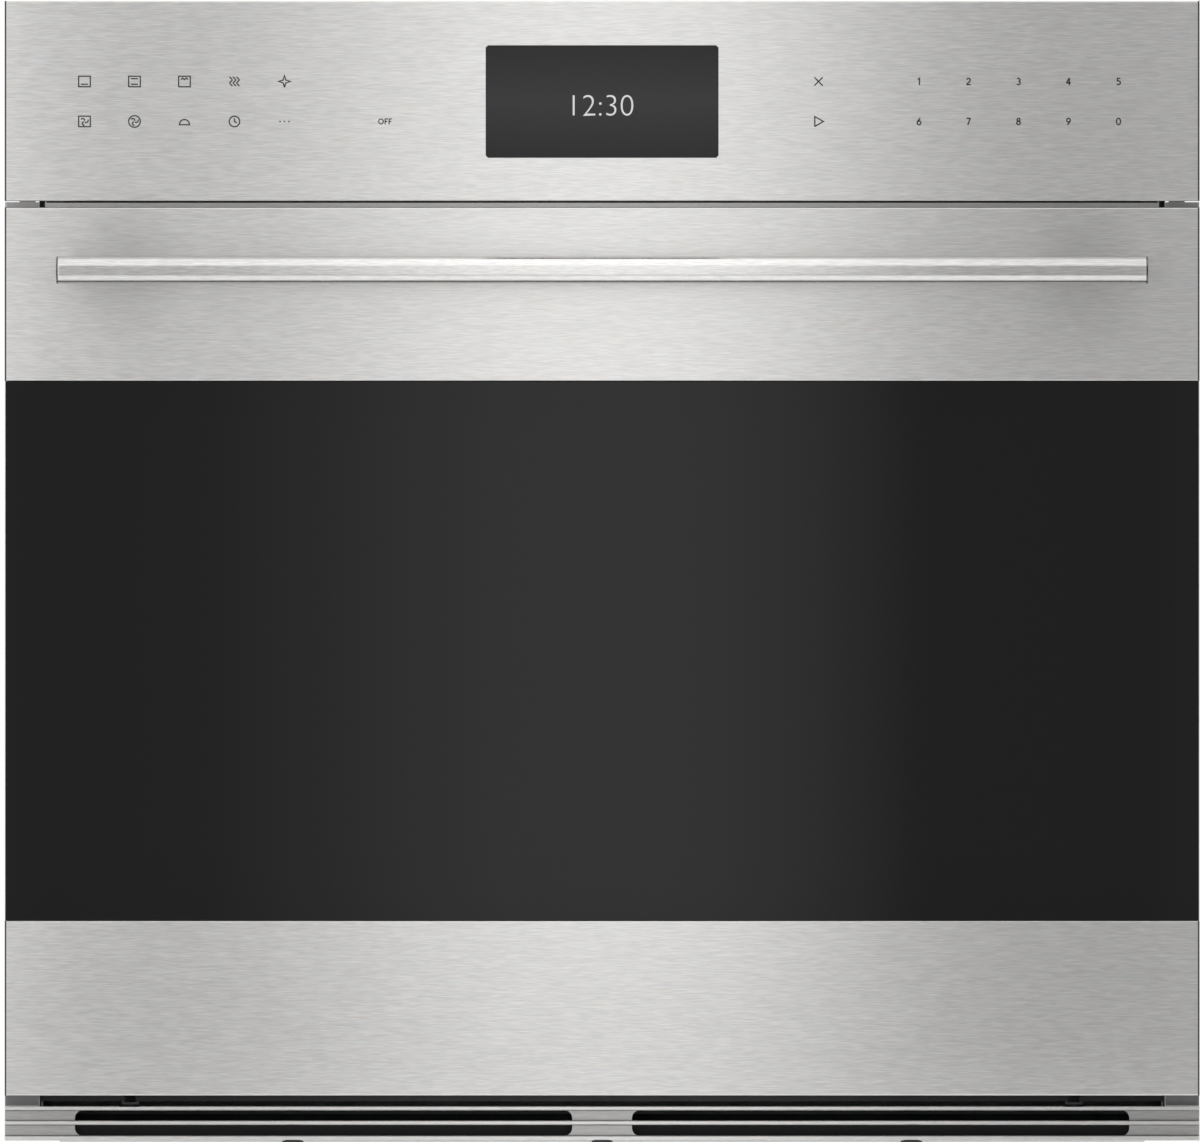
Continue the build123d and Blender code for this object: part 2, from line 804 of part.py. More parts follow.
ring_y = cavity_back - ring_depth
leg_end = liner_back + terminal_length
ring_turns = [ring_gap + step * (2 * pi - 2 * ring_gap) / ring_steps for step in range(ring_steps + 1)]
with BuildPart() as convection_elements:
    for fan_x, fan_z in fan_places:
        ring_points = [(fan_x + ring_radius * sin(t), fan_z + ring_radius * cos(t)) for t in ring_turns]
        ring_path_points = [(ring_points[0][0], leg_end, ring_points[0][1])]
        ring_path_points += [(x, ring_y, z) for x, z in ring_points]
        ring_path_points += [(ring_points[-1][0], leg_end, ring_points[-1][1])]
        with BuildLine() as ring_path:
            Polyline(*ring_path_points)
        with BuildSketch(Plane(origin=ring_path.line @ 0, z_dir=ring_path.line % 0)) as ring_section:
            RegularPolygon(element_radius, wire_sides, major_radius=False, rotation=180 / wire_sides)
        sweep(path=ring_path.line, transition=Transition.RIGHT)
save(convection_elements, "convection_elements")

# Broil and bake elements
element_front = frame_back + element_front_gap
element_rear = baffle_front - element_back_gap
with BuildPart() as broil_element:
    pass_gap = 2 * broil_half / 3
    inner_pass = broil_half - pass_gap
    turn_front = element_front + broil_turn
    turn_rear = element_rear - broil_turn
    with BuildLine(level(broil_z)) as broil_path:
        Polyline(
            (-broil_half, leg_end),
            (-broil_half, turn_front),
            (broil_turn - broil_half, element_front),
            (-inner_pass - broil_turn, element_front),
            (-inner_pass, turn_front),
            (-inner_pass, turn_rear),
            (broil_turn - inner_pass, element_rear),
            (inner_pass - broil_turn, element_rear),
            (inner_pass, turn_rear),
            (inner_pass, turn_front),
            (inner_pass + broil_turn, element_front),
            (broil_half - broil_turn, element_front),
            (broil_half, turn_front),
            (broil_half, leg_end),
        )
    with BuildSketch(Plane(origin=broil_path.line @ 0, z_dir=broil_path.line % 0)) as broil_section:
        RegularPolygon(element_radius, wire_sides, major_radius=False, rotation=180 / wire_sides)
    sweep(path=broil_path.line, transition=Transition.RIGHT)
save(broil_element, "broil_element")

bake_half = cavity_half - bake_side_gap
bake_z = cavity_floor - liner_sheet - fit - element_radius
with BuildPart() as bake_element:
    with BuildLine(level(bake_z)) as bake_path:
        Polyline(
            (-bake_half, element_rear),
            (-bake_half, element_front + bake_turn),
            (bake_turn - bake_half, element_front),
            (bake_half - bake_turn, element_front),
            (bake_half, element_front + bake_turn),
            (bake_half, element_rear),
        )
    with BuildSketch(Plane(origin=bake_path.line @ 0, z_dir=bake_path.line % 0)) as bake_section:
        RegularPolygon(element_radius, wire_sides, major_radius=False, rotation=180 / wire_sides)
    sweep(path=bake_path.line, transition=Transition.RIGHT)
save(bake_element, "bake_element")

# Rack ladders on the cavity walls
post_x = cavity_half - ladder_post - touch
rail_x = post_x - ladder_post - ladder_rail - touch
rail_levels = [cavity_floor + ladder_first + step * ladder_step for step in range(ladder_levels)]
ladder_front = frame_back + ladder_front_gap
ladder_back = baffle_front - ladder_back_gap
with BuildPart() as rack_ladders:
    ladder_bottom = rail_levels[0] - 2 * ladder_pair
    ladder_top = rail_levels[-1] + 2 * ladder_pair
    for ladder_side in (-1, 1):
        for post_y in (ladder_front, ladder_back):
            place = ladder_side * post_x
            rod((place, post_y, ladder_bottom), (place, post_y, ladder_top), ladder_post, wire_sides)
        for rail_level in rail_levels:
            for rail_z in (rail_level, rail_level + ladder_pair):
                place = ladder_side * rail_x
                rail_front_end = (place, ladder_front - 2 * ladder_post, rail_z)
                rail_back_end = (place, ladder_back + 2 * ladder_post, rail_z)
                rod(rail_front_end, rail_back_end, ladder_rail, wire_sides)
save(rack_ladders, "rack_ladders")

# Wire racks
rack_half = cavity_half - rack_side_gap
rack_front = frame_back + rack_front_gap
rack_back = baffle_front - rack_back_gap


def wire_rack(rail_level):
    """A rack of straight rods on a bent wire frame, resting on the ladder rails at one level."""
    frame_z = rail_level + ladder_rail + rack_wire + touch
    rod_z = frame_z + rack_wire + rod_wire + touch
    cross_z = rod_z - rod_wire - cross_wire - touch
    middle = (rack_front + rack_back) / 2
    depth = rack_back - rack_front
    with BuildPart() as rack:
        with BuildSketch(level(frame_z - rack_wire)) as loop:
            with Locations((0, middle)):
                Rectangle(2 * (rack_half + rack_wire), depth + 2 * rack_wire)
            chamfer(loop.vertices(), rack_corner)
            offset(amount=-2 * rack_wire, kind=Kind.INTERSECTION, mode=Mode.SUBTRACT)
        extrude(amount=2 * rack_wire)
        chamfer(rack.faces().filter_by(Axis.Z).edges(), rack_wire * (2 - sqrt(2)))
        pitch = 2 * (rack_half - rack_corner) / (rack_rods + 1)
        for count in range(rack_rods):
            rod_x = (count - (rack_rods - 1) / 2) * pitch
            rod((rod_x, rack_front, rod_z), (rod_x, rack_back, rod_z), rod_wire, wire_sides)
        for cross_y in (middle - depth / 4, middle + depth / 4):
            cross_end = rack_half - rack_wire - touch
            rod((-cross_end, cross_y, cross_z), (cross_end, cross_y, cross_z), cross_wire, wire_sides)
    return rack


lower_rack = wire_rack(rail_levels[1])
save(lower_rack, "lower_rack")

upper_rack = wire_rack(rail_levels[-2])
save(upper_rack, "upper_rack")

# Lamps in the ceiling
can_bottom = cavity_ceiling + liner_sheet + touch
with BuildPart() as lamp_housings:
    with BuildSketch(level(can_bottom)) as can_outline:
        with Locations(*lamp_places):
            RegularPolygon(lamp_radius + lamp_flange, can_sides)
    extrude(amount=can_height)
    with BuildSketch(level(can_bottom)) as can_inside:
        with Locations(*lamp_places):
            RegularPolygon(lamp_radius, can_sides)
    extrude(amount=can_height - can_sheet, mode=Mode.SUBTRACT)
save(lamp_housings, "lamp_housings")

with BuildPart() as lamp_bulbs:
    with BuildSketch(level(can_bottom + can_height - can_sheet - touch)) as bulb_outline:
        with Locations(*lamp_places):
            RegularPolygon(bulb_radius, nut_sides)
    extrude(amount=-bulb_length)
    chamfer(lamp_bulbs.edges().group_by(Axis.Z)[0], bulb_radius / 2)
save(lamp_bulbs, "lamp_bulbs")

with BuildPart() as lamp_lenses:
    with BuildSketch(level(cavity_ceiling - touch)) as lens_disc:
        with Locations(*lamp_places):
            RegularPolygon(lamp_radius + lamp_flange, can_sides)
    extrude(amount=-lens_drop)
    chamfer(lamp_lenses.edges().group_by(Axis.Z)[0], lens_drop / 2)
save(lamp_lenses, "lamp_lenses")

with BuildPart() as temperature_sensor:
    sensor_tip = (sensor_x, cavity_back - sensor_length, sensor_z)
    rod((sensor_x, leg_end, sensor_z), sensor_tip, sensor_radius, nut_sides)
    collar_end = (sensor_x, cavity_back - touch - sensor_collar, sensor_z)
    rod((sensor_x, cavity_back - touch, sensor_z), collar_end, sensor_collar, hex_sides)
save(temperature_sensor, "temperature_sensor")

# Door gasket on the front frame
gasket_depth = frame_front - plug_face - fit
with BuildPart() as door_gasket:
    with BuildSketch(facing(frame_front)) as gasket_outline:
        with Locations((0, cavity_middle)):
            outer_grow = gasket_inset + gasket_width
            RectangleRounded(
                2 * (cavity_half + outer_grow), cavity_height + 2 * outer_grow, cavity_corner + outer_grow
            )
            RectangleRounded(
                2 * (cavity_half + gasket_inset),
                cavity_height + 2 * gasket_inset,
                cavity_corner + gasket_inset,
                mode=Mode.SUBTRACT,
            )
    extrude(amount=gasket_depth)
save(door_gasket, "door_gasket")

# Hinge arms, receivers, channels, pins, rods and springs
crank_y = hinge_y + crank_back
crank_z = hinge_z + crank_rise
eye_x = arm_sheet / 2 + (channel_gap - arm_sheet / 2 - eye_sheet) / 2
with BuildPart() as hinge_arms:
    for arm_x in (-hinge_x, hinge_x):
        with BuildSketch(along(arm_x - arm_sheet / 2)) as arm_outline:
            with Locations((hinge_y, hinge_z)):
                RegularPolygon(arm_boss, nut_sides)
            with Locations((crank_y, crank_z)):
                RegularPolygon(crank_boss, nut_sides)
            with Locations(((hinge_y + arm_reach) / 2, hinge_z)):
                Rectangle(arm_reach - hinge_y, 2 * arm_half)
            with Locations((hinge_y, hinge_z)):
                Circle(hinge_pin_radius + running, mode=Mode.SUBTRACT)
            with Locations((roller_depth, hinge_z - arm_half)):
                notch_side = 2 * (roller_radius + fit)
                Rectangle(notch_side, notch_side, mode=Mode.SUBTRACT)
        extrude(amount=arm_sheet)
        rod(
            (arm_x, crank_y, crank_z),
            (arm_x + channel_gap - touch, crank_y, crank_z),
            crank_radius,
            nut_sides,
        )
save(hinge_arms, "hinge_arms")

with BuildPart() as hinge_receivers:
    for arm_x in (-hinge_x, hinge_x):
        for plate_side in (-1, 1):
            plate_x = sorted(
                (arm_x + plate_side * channel_gap, arm_x + plate_side * (channel_gap + channel_sheet))
            )
            block(plate_x, (frame_back, receiver_depth), (receiver_floor, receiver_height))
            ear_x = sorted(
                (arm_x + plate_side * channel_gap, arm_x + plate_side * (channel_gap + receiver_flange))
            )
            block(ear_x, (frame_back, frame_back + channel_sheet), (frame_bottom, receiver_height))
        floor_x = (arm_x - channel_gap - channel_sheet, arm_x + channel_gap + channel_sheet)
        block(floor_x, (frame_back, receiver_depth), (receiver_floor, receiver_floor + channel_sheet))
        roller_z = hinge_z - arm_half
        roller_ends = [(x, roller_depth, roller_z) for x in floor_x]
        rod(*roller_ends, roller_radius, nut_sides)
save(hinge_receivers, "hinge_receivers")

with BuildPart() as hinge_channels:
    for arm_x in (-hinge_x, hinge_x):
        wall = channel_gap + channel_sheet
        channel_bottom = door_bottom + skin_sheet + slot_clearance
        for plate_side in (-1, 1):
            plate_x = sorted((arm_x + plate_side * channel_gap, arm_x + plate_side * wall))
            block(plate_x, (slab_front + channel_front, brim_front), (channel_bottom, channel_top))
        web_bottom = door_bottom + notch_rise
        web_y = (brim_front - channel_sheet, brim_front)
        block((arm_x - wall, arm_x + wall), web_y, (web_bottom, channel_top))
        abutment = (abutment_height, abutment_height + abutment_sheet)
        block((arm_x - wall, arm_x + wall), (slab_front + channel_front, brim_front), abutment)
        rod_y = brim_front - channel_sheet - spring_radius - fit
        rod_hole = rod_half + running
        block(
            (arm_x - rod_hole, arm_x + rod_hole),
            (rod_y - rod_hole, rod_y + rod_hole),
            abutment,
            mode=Mode.SUBTRACT,
        )
        rod(
            (arm_x - wall, hinge_y, hinge_z),
            (arm_x + wall, hinge_y, hinge_z),
            hinge_pin_radius,
            nut_sides,
            mode=Mode.SUBTRACT,
        )
save(hinge_channels, "hinge_channels")

with BuildPart() as hinge_pins:
    for arm_x in (-hinge_x, hinge_x):
        pin_half = channel_gap + channel_sheet
        rod((arm_x - pin_half, hinge_y, hinge_z), (arm_x + pin_half, hinge_y, hinge_z), hinge_pin_radius)
save(hinge_pins, "hinge_pins")

# The crank moves in an arc while its rod moves straight, so the eye is a slot
crank_reach = (crank_back**2 + crank_rise**2) ** 0.5
slot_front = crank_y - crank_radius - fit - touch
slot_rear = hinge_y + crank_reach + crank_radius + fit + touch
slot_half = crank_radius + 2 * fit
with BuildPart() as spring_rods:
    for arm_x in (-hinge_x, hinge_x):
        rod_y = brim_front - channel_sheet - spring_radius - fit
        with BuildSketch(along(arm_x + eye_x)) as eye_outline:
            eye_bottom = crank_z - slot_half - eye_wall
            eye_top = crank_z + slot_half + eye_wall
            with Locations(((slot_front + slot_rear) / 2, (eye_bottom + eye_top) / 2)):
                Rectangle(slot_rear - slot_front + 2 * eye_wall, eye_top - eye_bottom)
            neck_top = rod_bottom + 2 * rod_half
            with Locations((rod_y, (eye_top + neck_top) / 2)):
                Rectangle(2 * rod_half, neck_top - eye_top)
            with Locations(((slot_front + slot_rear) / 2, crank_z)):
                Rectangle(slot_rear - slot_front, 2 * slot_half, mode=Mode.SUBTRACT)
        extrude(amount=eye_sheet)
        rod_span_y = (rod_y - rod_half, rod_y + rod_half)
        block((arm_x, arm_x + eye_x + eye_sheet), rod_span_y, (rod_bottom, neck_top))
        block((arm_x - rod_half, arm_x + rod_half), rod_span_y, (rod_bottom, rod_top))
        washer_top = (arm_x, rod_y, spring_top + washer_sheet)
        rod((arm_x, rod_y, spring_top), washer_top, spring_radius, nut_sides)
save(spring_rods, "spring_rods")

with BuildPart() as hinge_springs:
    for arm_x in (-hinge_x, hinge_x):
        rod_y = brim_front - channel_sheet - spring_radius - fit
        spring_bottom = abutment_height + abutment_sheet
        spring_ends = [(arm_x, rod_y, spring_bottom), (arm_x, rod_y, spring_top)]
        rod(*spring_ends, spring_radius, can_sides)
        rod(*spring_ends, rod_half * sqrt(2) + fit, can_sides, mode=Mode.SUBTRACT)
save(hinge_springs, "hinge_springs")


# Door skins
def door_skin(bottom, top, glass_edge):
    """A folded pan, open at the back, with a shallower return beside the glass."""
    with BuildPart() as skin:
        block((-face_half, face_half), (slab_front, slab_back), (bottom, top))
        fillet(skin.faces().sort_by(Axis.Y)[0].edges(), edge_radius)
        block(
            (skin_sheet - face_half, face_half - skin_sheet),
            (slab_front + skin_sheet, slab_back),
            (bottom + skin_sheet, top - skin_sheet),
            mode=Mode.SUBTRACT,
        )
        block(
            (skin_sheet - face_half, face_half - skin_sheet),
            (slab_front + return_depth, slab_back),
            (glass_edge - skin_sheet, glass_edge + skin_sheet),
            mode=Mode.SUBTRACT,
        )
    return skin


handle_y = slab_front - handle_reach
handle_z = door_top - handle_drop
handle_post_x = face_half - post_inset
upper_base = door_skin(upper_skin_bottom, door_top, upper_skin_bottom)
with BuildPart() as door_upper_skin:
    add(upper_base.part)
    for place in (-handle_post_x, handle_post_x):
        rod((place, slab_front, handle_z), (place, slab_front + skin_sheet, handle_z),
            handle_screw_radius + fit, nut_sides, mode=Mode.SUBTRACT)
save(door_upper_skin, "door_upper_skin")

lower_base = door_skin(door_bottom, lower_skin_top, lower_skin_top)
with BuildPart() as door_lower_skin:
    add(lower_base.part)
    for arm_x in (-hinge_x, hinge_x):
        block(
            (arm_x - notch_half, arm_x + notch_half),
            (slab_front + channel_front, slab_back),
            (door_bottom, door_bottom + skin_sheet),
            mode=Mode.SUBTRACT,
        )
save(door_lower_skin, "door_lower_skin")

# Door glass, side rails and frame
glass_front = slab_front + glass_recess
glass_back = glass_front + glass_sheet
with BuildPart() as door_outer_glass:
    block(
        (glass_inset - face_half, face_half - glass_inset),
        (glass_front, glass_back),
        (lower_skin_top + fit, upper_skin_bottom - fit),
    )
    chamfer(door_outer_glass.faces().sort_by(Axis.Y)[0].edges(), fit)
save(door_outer_glass, "door_outer_glass")

brim_half = face_half - skin_sheet - fit
with BuildPart() as door_side_rails:
    for rail_side in (-1, 1):
        rail_outer = face_half - glass_inset - fit
        rail_limits = sorted((rail_side * rail_outer, rail_side * (rail_outer - side_rail_width)))
        rail_heights = (lower_skin_top + fit, upper_skin_bottom - fit)
        block(rail_limits, (glass_back + touch, brim_front), rail_heights)
        groove = sorted(
            (rail_side * (rail_outer - skin_sheet), rail_side * (rail_outer - side_rail_width))
        )
        block(
            groove,
            (glass_back + touch + skin_sheet, brim_front - skin_sheet),
            rail_heights,
            mode=Mode.SUBTRACT,
        )
save(door_side_rails, "door_side_rails")

plug_half = cavity_half + plug_margin
plug_height = cavity_height + 2 * plug_margin
view_half = cavity_half - window_side
view_bottom = cavity_floor + window_sill
view_top = cavity_ceiling - window_head
view_middle = (view_bottom + view_top) / 2
with BuildPart() as door_frame:
    with BuildSketch(facing(slab_back)) as brim_outline:
        with Locations((0, (door_bottom + door_top) / 2)):
            Rectangle(2 * brim_half, door_height - 2 * (skin_sheet + fit))
        with Locations((-hinge_x, door_bottom), (hinge_x, door_bottom)):
            Rectangle(2 * notch_half, 2 * notch_rise, mode=Mode.SUBTRACT)
        with Locations(((lock_slot_left + lock_slot_right) / 2, latch_z)):
            Rectangle(lock_slot_right - lock_slot_left, 2 * lock_slot_half, mode=Mode.SUBTRACT)
    extrude(amount=frame_sheet)
    with BuildSketch(facing(plug_face)) as plug_outline:
        with Locations((0, cavity_middle)):
            RectangleRounded(2 * plug_half, plug_height, plug_corner)
    extrude(amount=plug_face - slab_back)
    chamfer(door_frame.faces().sort_by(Axis.Y)[-1].edges(), plug_bevel)
    with BuildSketch(facing(plug_face - frame_sheet)) as plug_inside:
        with Locations((0, cavity_middle)):
            RectangleRounded(
                2 * (plug_half - frame_sheet), plug_height - 2 * frame_sheet, plug_corner - frame_sheet
            )
    extrude(amount=plug_face - slab_back, mode=Mode.SUBTRACT)
    with BuildSketch(facing(plug_face)) as view_cut:
        with Locations((0, view_middle)):
            RectangleRounded(2 * view_half, view_top - view_bottom, cavity_corner)
    extrude(amount=frame_sheet, mode=Mode.SUBTRACT)
save(door_frame, "door_frame")

pane_half = view_half + pane_overlap
pane_z = (view_bottom - pane_overlap, view_top + pane_overlap)
inner_pane_back = plug_face - frame_sheet - touch
inner_pane_front = inner_pane_back - pane_sheet
with BuildPart() as door_inner_glass:
    block((-pane_half, pane_half), (inner_pane_front, inner_pane_back), pane_z)
save(door_inner_glass, "door_inner_glass")

spacer_back = inner_pane_front - touch
spacer_front = spacer_back - spacer_depth
with BuildPart() as glass_spacer:
    block((-pane_half, pane_half), (spacer_front, spacer_back), pane_z)
    block(
        (spacer_width - pane_half, pane_half - spacer_width),
        (spacer_front, spacer_back),
        (pane_z[0] + spacer_width, pane_z[1] - spacer_width),
        mode=Mode.SUBTRACT,
    )
save(glass_spacer, "glass_spacer")

middle_pane_back = spacer_front - touch
with BuildPart() as door_middle_glass:
    block((-pane_half, pane_half), (middle_pane_back - pane_sheet, middle_pane_back), pane_z)
save(door_middle_glass, "door_middle_glass")

with BuildPart() as door_insulation:
    fill_back = plug_face - plug_bevel - frame_sheet
    fill_depth = fill_back - (middle_pane_back - pane_sheet)
    with BuildSketch(facing(fill_back)) as fill_outline:
        with Locations((0, cavity_middle)):
            fill_grow = frame_sheet + soft_gap
            Rectangle(2 * (plug_half - fill_grow), plug_height - 2 * fill_grow)
            chamfer(fill_outline.vertices(), plug_corner)
        with Locations((0, view_middle)):
            Rectangle(
                2 * (pane_half + soft_gap), pane_z[1] - pane_z[0] + 2 * soft_gap, mode=Mode.SUBTRACT
            )
    extrude(amount=fill_depth)
save(door_insulation, "door_insulation")

# Handle
handle_half = face_half - handle_inset
with BuildPart() as handle_bar:
    rod((-handle_half, handle_y, handle_z), (handle_half, handle_y, handle_z), handle_radius)
    for place in (-handle_post_x, handle_post_x):
        flat_y = handle_y + handle_radius - post_flat
        block(
            (place - post_radius - fit, place + post_radius + fit),
            (flat_y, handle_y + 2 * handle_radius),
            (handle_z - handle_radius, handle_z + handle_radius),
            mode=Mode.SUBTRACT,
        )
save(handle_bar, "handle_bar")

with BuildPart() as handle_posts:
    for place in (-handle_post_x, handle_post_x):
        post_end = handle_y + handle_radius - post_flat
        rod((place, slab_front, handle_z), (place, post_end, handle_z), post_radius)
        rod(
            (place, slab_front, handle_z),
            (place, slab_front - handle_screw_depth - slot_clearance, handle_z),
            handle_screw_radius + running,
            nut_sides,
            mode=Mode.SUBTRACT,
        )
save(handle_posts, "handle_posts")

with BuildPart() as handle_screws:
    for place in (-handle_post_x, handle_post_x):
        screw_seat = (place, slab_front + skin_sheet, handle_z)
        screw_end = (place, slab_front - handle_screw_depth, handle_z)
        rod(screw_seat, screw_end, handle_screw_radius, nut_sides)
        rod(screw_seat, (place, slab_front + 3 * skin_sheet, handle_z), handle_screw_head, hex_sides)
save(handle_screws, "handle_screws")

# Cooling blower
wheel_bottom = deck_top + wheel_gap
motor_bottom = deck_top + housing_height + blower_motor_gap
with BuildPart() as blower_housing:
    scroll_start = wheel_radius + scroll_gap
    scroll_wide = scroll_start + 2 * scroll_gap
    scroll_end = scroll_start + 3 * scroll_gap
    with BuildSketch(level(deck_top)) as scroll_outline:
        with BuildLine():
            ThreePointArc(
                (-scroll_start, blower_y),
                (scroll_gap, blower_y - scroll_start - scroll_gap),
                (scroll_wide, blower_y),
            )
            Polyline(
                (scroll_wide, blower_y),
                (scroll_wide, blower_y + scroll_end),
                (-scroll_start, blower_y + scroll_end),
                (-scroll_start, blower_y),
            )
        make_face()
    extrude(amount=housing_height)
    outlet = blower_housing.faces().sort_by(Axis.Y)[-1]
    underside = blower_housing.faces().sort_by(Axis.Z)[0]
    offset(amount=-frame_sheet, openings=[outlet, underside])
    with BuildSketch(level(deck_top + housing_height)) as inlet_cut:
        with Locations((0, blower_y)):
            RegularPolygon(inlet_radius, fan_sides)
    extrude(amount=-2 * frame_sheet, mode=Mode.SUBTRACT)
save(blower_housing, "blower_housing")

with BuildPart() as blower_wheel:
    with BuildSketch(level(wheel_bottom)) as wheel_disc:
        with Locations((0, blower_y)):
            RegularPolygon(wheel_radius, fan_sides)
    extrude(amount=fan_sheet)
    with BuildSketch(level(wheel_bottom + fan_sheet)) as wheel_vanes:
        with Locations((0, blower_y)):
            with PolarLocations(wheel_radius - vane_length * 0.6, wheel_blades):
                Rectangle(vane_length, fan_sheet, rotation=vane_angle)
    extrude(amount=wheel_height - fan_sheet)
    hub_top = (0, blower_y, wheel_bottom + wheel_height / 2)
    rod((0, blower_y, wheel_bottom), hub_top, hub_radius, nut_sides)
    rod((0, blower_y, wheel_bottom), (0, blower_y, motor_bottom + blower_motor_height / 2), blower_shaft)
save(blower_wheel, "blower_wheel")

with BuildPart() as blower_motor:
    motor_top = (0, blower_y, motor_bottom + blower_motor_height)
    rod((0, blower_y, motor_bottom), motor_top, blower_motor_radius, can_sides)
    leg_reach = inlet_radius + leg_width
    bridge = (motor_bottom, motor_bottom + frame_sheet)
    block((-leg_reach, leg_reach), (blower_y - leg_width / 2, blower_y + leg_width / 2), bridge)
    for leg_side in (-1, 1):
        leg_x = sorted((leg_side * leg_reach, leg_side * (leg_reach - leg_width / 2)))
        leg_y = (blower_y - leg_width / 2, blower_y + leg_width / 2)
        block(leg_x, leg_y, (deck_top + housing_height, motor_bottom))
    rod(
        (0, blower_y, motor_bottom),
        (0, blower_y, motor_bottom + blower_motor_height / 2 + slot_clearance),
        blower_shaft + running,
        mode=Mode.SUBTRACT,
    )
save(blower_motor, "blower_motor")

# Electrics on the deck
relay_x = relay_side_gap - inner_half
relay_y = cover_inside - relay_inset
terminal_y = cover_inside - terminal_inset
with BuildPart() as relay_board:
    board_bottom = deck_top + standoff_height
    block(
        (relay_x - relay_width / 2, relay_x + relay_width / 2),
        (relay_y - relay_depth / 2, relay_y + relay_depth / 2),
        (board_bottom, board_bottom + board_sheet),
    )
    with BuildSketch(level(deck_top)) as standoffs:
        with Locations((relay_x, relay_y)):
            with GridLocations(relay_width - 4 * standoff_radius, relay_depth - 4 * standoff_radius, 2, 2):
                RegularPolygon(standoff_radius, hex_sides)
    extrude(amount=standoff_height)
    with BuildSketch(level(board_bottom + board_sheet)) as relays:
        with Locations((relay_x, relay_y)):
            with GridLocations(relay_width / 5, relay_depth / 2, 4, 2):
                Rectangle(relay_width / 8, relay_depth / 4)
    extrude(amount=relay_height)
save(relay_board, "relay_board")

with BuildPart() as terminal_block:
    terminal_span_x = (junction_x - terminal_width / 2, junction_x + terminal_width / 2)
    terminal_span_y = (terminal_y - terminal_depth / 2, terminal_y + terminal_depth / 2)
    block(terminal_span_x, terminal_span_y, (deck_top, deck_top + relay_height))
    with BuildSketch(level(deck_top + relay_height)) as barriers:
        with Locations((junction_x, terminal_y)):
            with GridLocations(terminal_pitch, 1, 4, 1):
                Rectangle(2 * fan_sheet, terminal_depth)
    extrude(amount=standoff_height)
    with BuildSketch(level(deck_top + relay_height)) as posts:
        with Locations((junction_x, terminal_y)):
            with GridLocations(terminal_pitch, 1, 3, 1):
                RegularPolygon(standoff_radius, hex_sides)
    extrude(amount=standoff_height / 2)
save(terminal_block, "terminal_block")

# Door lock
with BuildPart() as latch_hook:
    with BuildSketch(level(latch_z - latch_sheet / 2)) as hook_outline:
        with Locations((0, latch_y)):
            RegularPolygon(2 * latch_half, nut_sides)
        with Locations((0, (latch_tip + latch_y) / 2)):
            Rectangle(2 * latch_half, latch_y - latch_tip)
        with Locations((latch_half, latch_tip)):
            Rectangle(latch_barb, latch_nose, align=(Align.MIN, Align.MIN))
    extrude(amount=latch_sheet)
    rod((0, latch_y, latch_z), (0, latch_y, deck_top + latch_motor_height / 2), latch_shaft)
save(latch_hook, "latch_hook")

with BuildPart() as latch_motor:
    motor_end = (0, latch_y, deck_top + latch_motor_height)
    rod((0, latch_y, deck_top), motor_end, latch_motor_radius, can_sides)
    rod(
        (0, latch_y, deck_top),
        (0, latch_y, deck_top + latch_motor_height / 2 + slot_clearance),
        latch_shaft + running,
        mode=Mode.SUBTRACT,
    )
save(latch_motor, "latch_motor")

# Door switch
plunger_front = slab_back + fit
with BuildPart() as switch_plunger:
    plunger_end = (switch_x, plunger_front + plunger_length, latch_z)
    rod((switch_x, plunger_front, latch_z), plunger_end, plunger_radius, nut_sides)
save(switch_plunger, "switch_plunger")

with BuildPart() as switch_housing:
    housing_z = (latch_z - switch_height / 2, latch_z + switch_height / 2)
    switch_span = (switch_x - switch_width / 2, switch_x + switch_width / 2)
    block(switch_span, (frame_back, frame_back + switch_depth), housing_z)
    rod(
        (switch_x, frame_back, latch_z),
        (switch_x, plunger_front + plunger_length + slot_clearance, latch_z),
        plunger_radius + running,
        nut_sides,
        mode=Mode.SUBTRACT,
    )
save(switch_housing, "switch_housing")

# Screws that hold the back and top covers
with BuildPart() as casing_screws:
    back_x = inner_half - screw_edge
    screw_heights = [casing_sheet + screw_edge, chassis_top / 2, chassis_top - casing_sheet - screw_edge]
    for place in (-back_x, back_x):
        for height in screw_heights:
            head_end = (place, chassis_depth + head_depth, height)
            rod((place, chassis_depth, height), head_end, head_radius, hex_sides)
    for place in (-back_x, back_x):
        for depth in (casing_lip + screw_edge, chassis_depth - screw_edge):
            head_end = (place, depth, chassis_top + head_depth)
            rod((place, depth, chassis_top), head_end, head_radius, hex_sides)
save(casing_screws, "casing_screws")
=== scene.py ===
from math import pi, radians

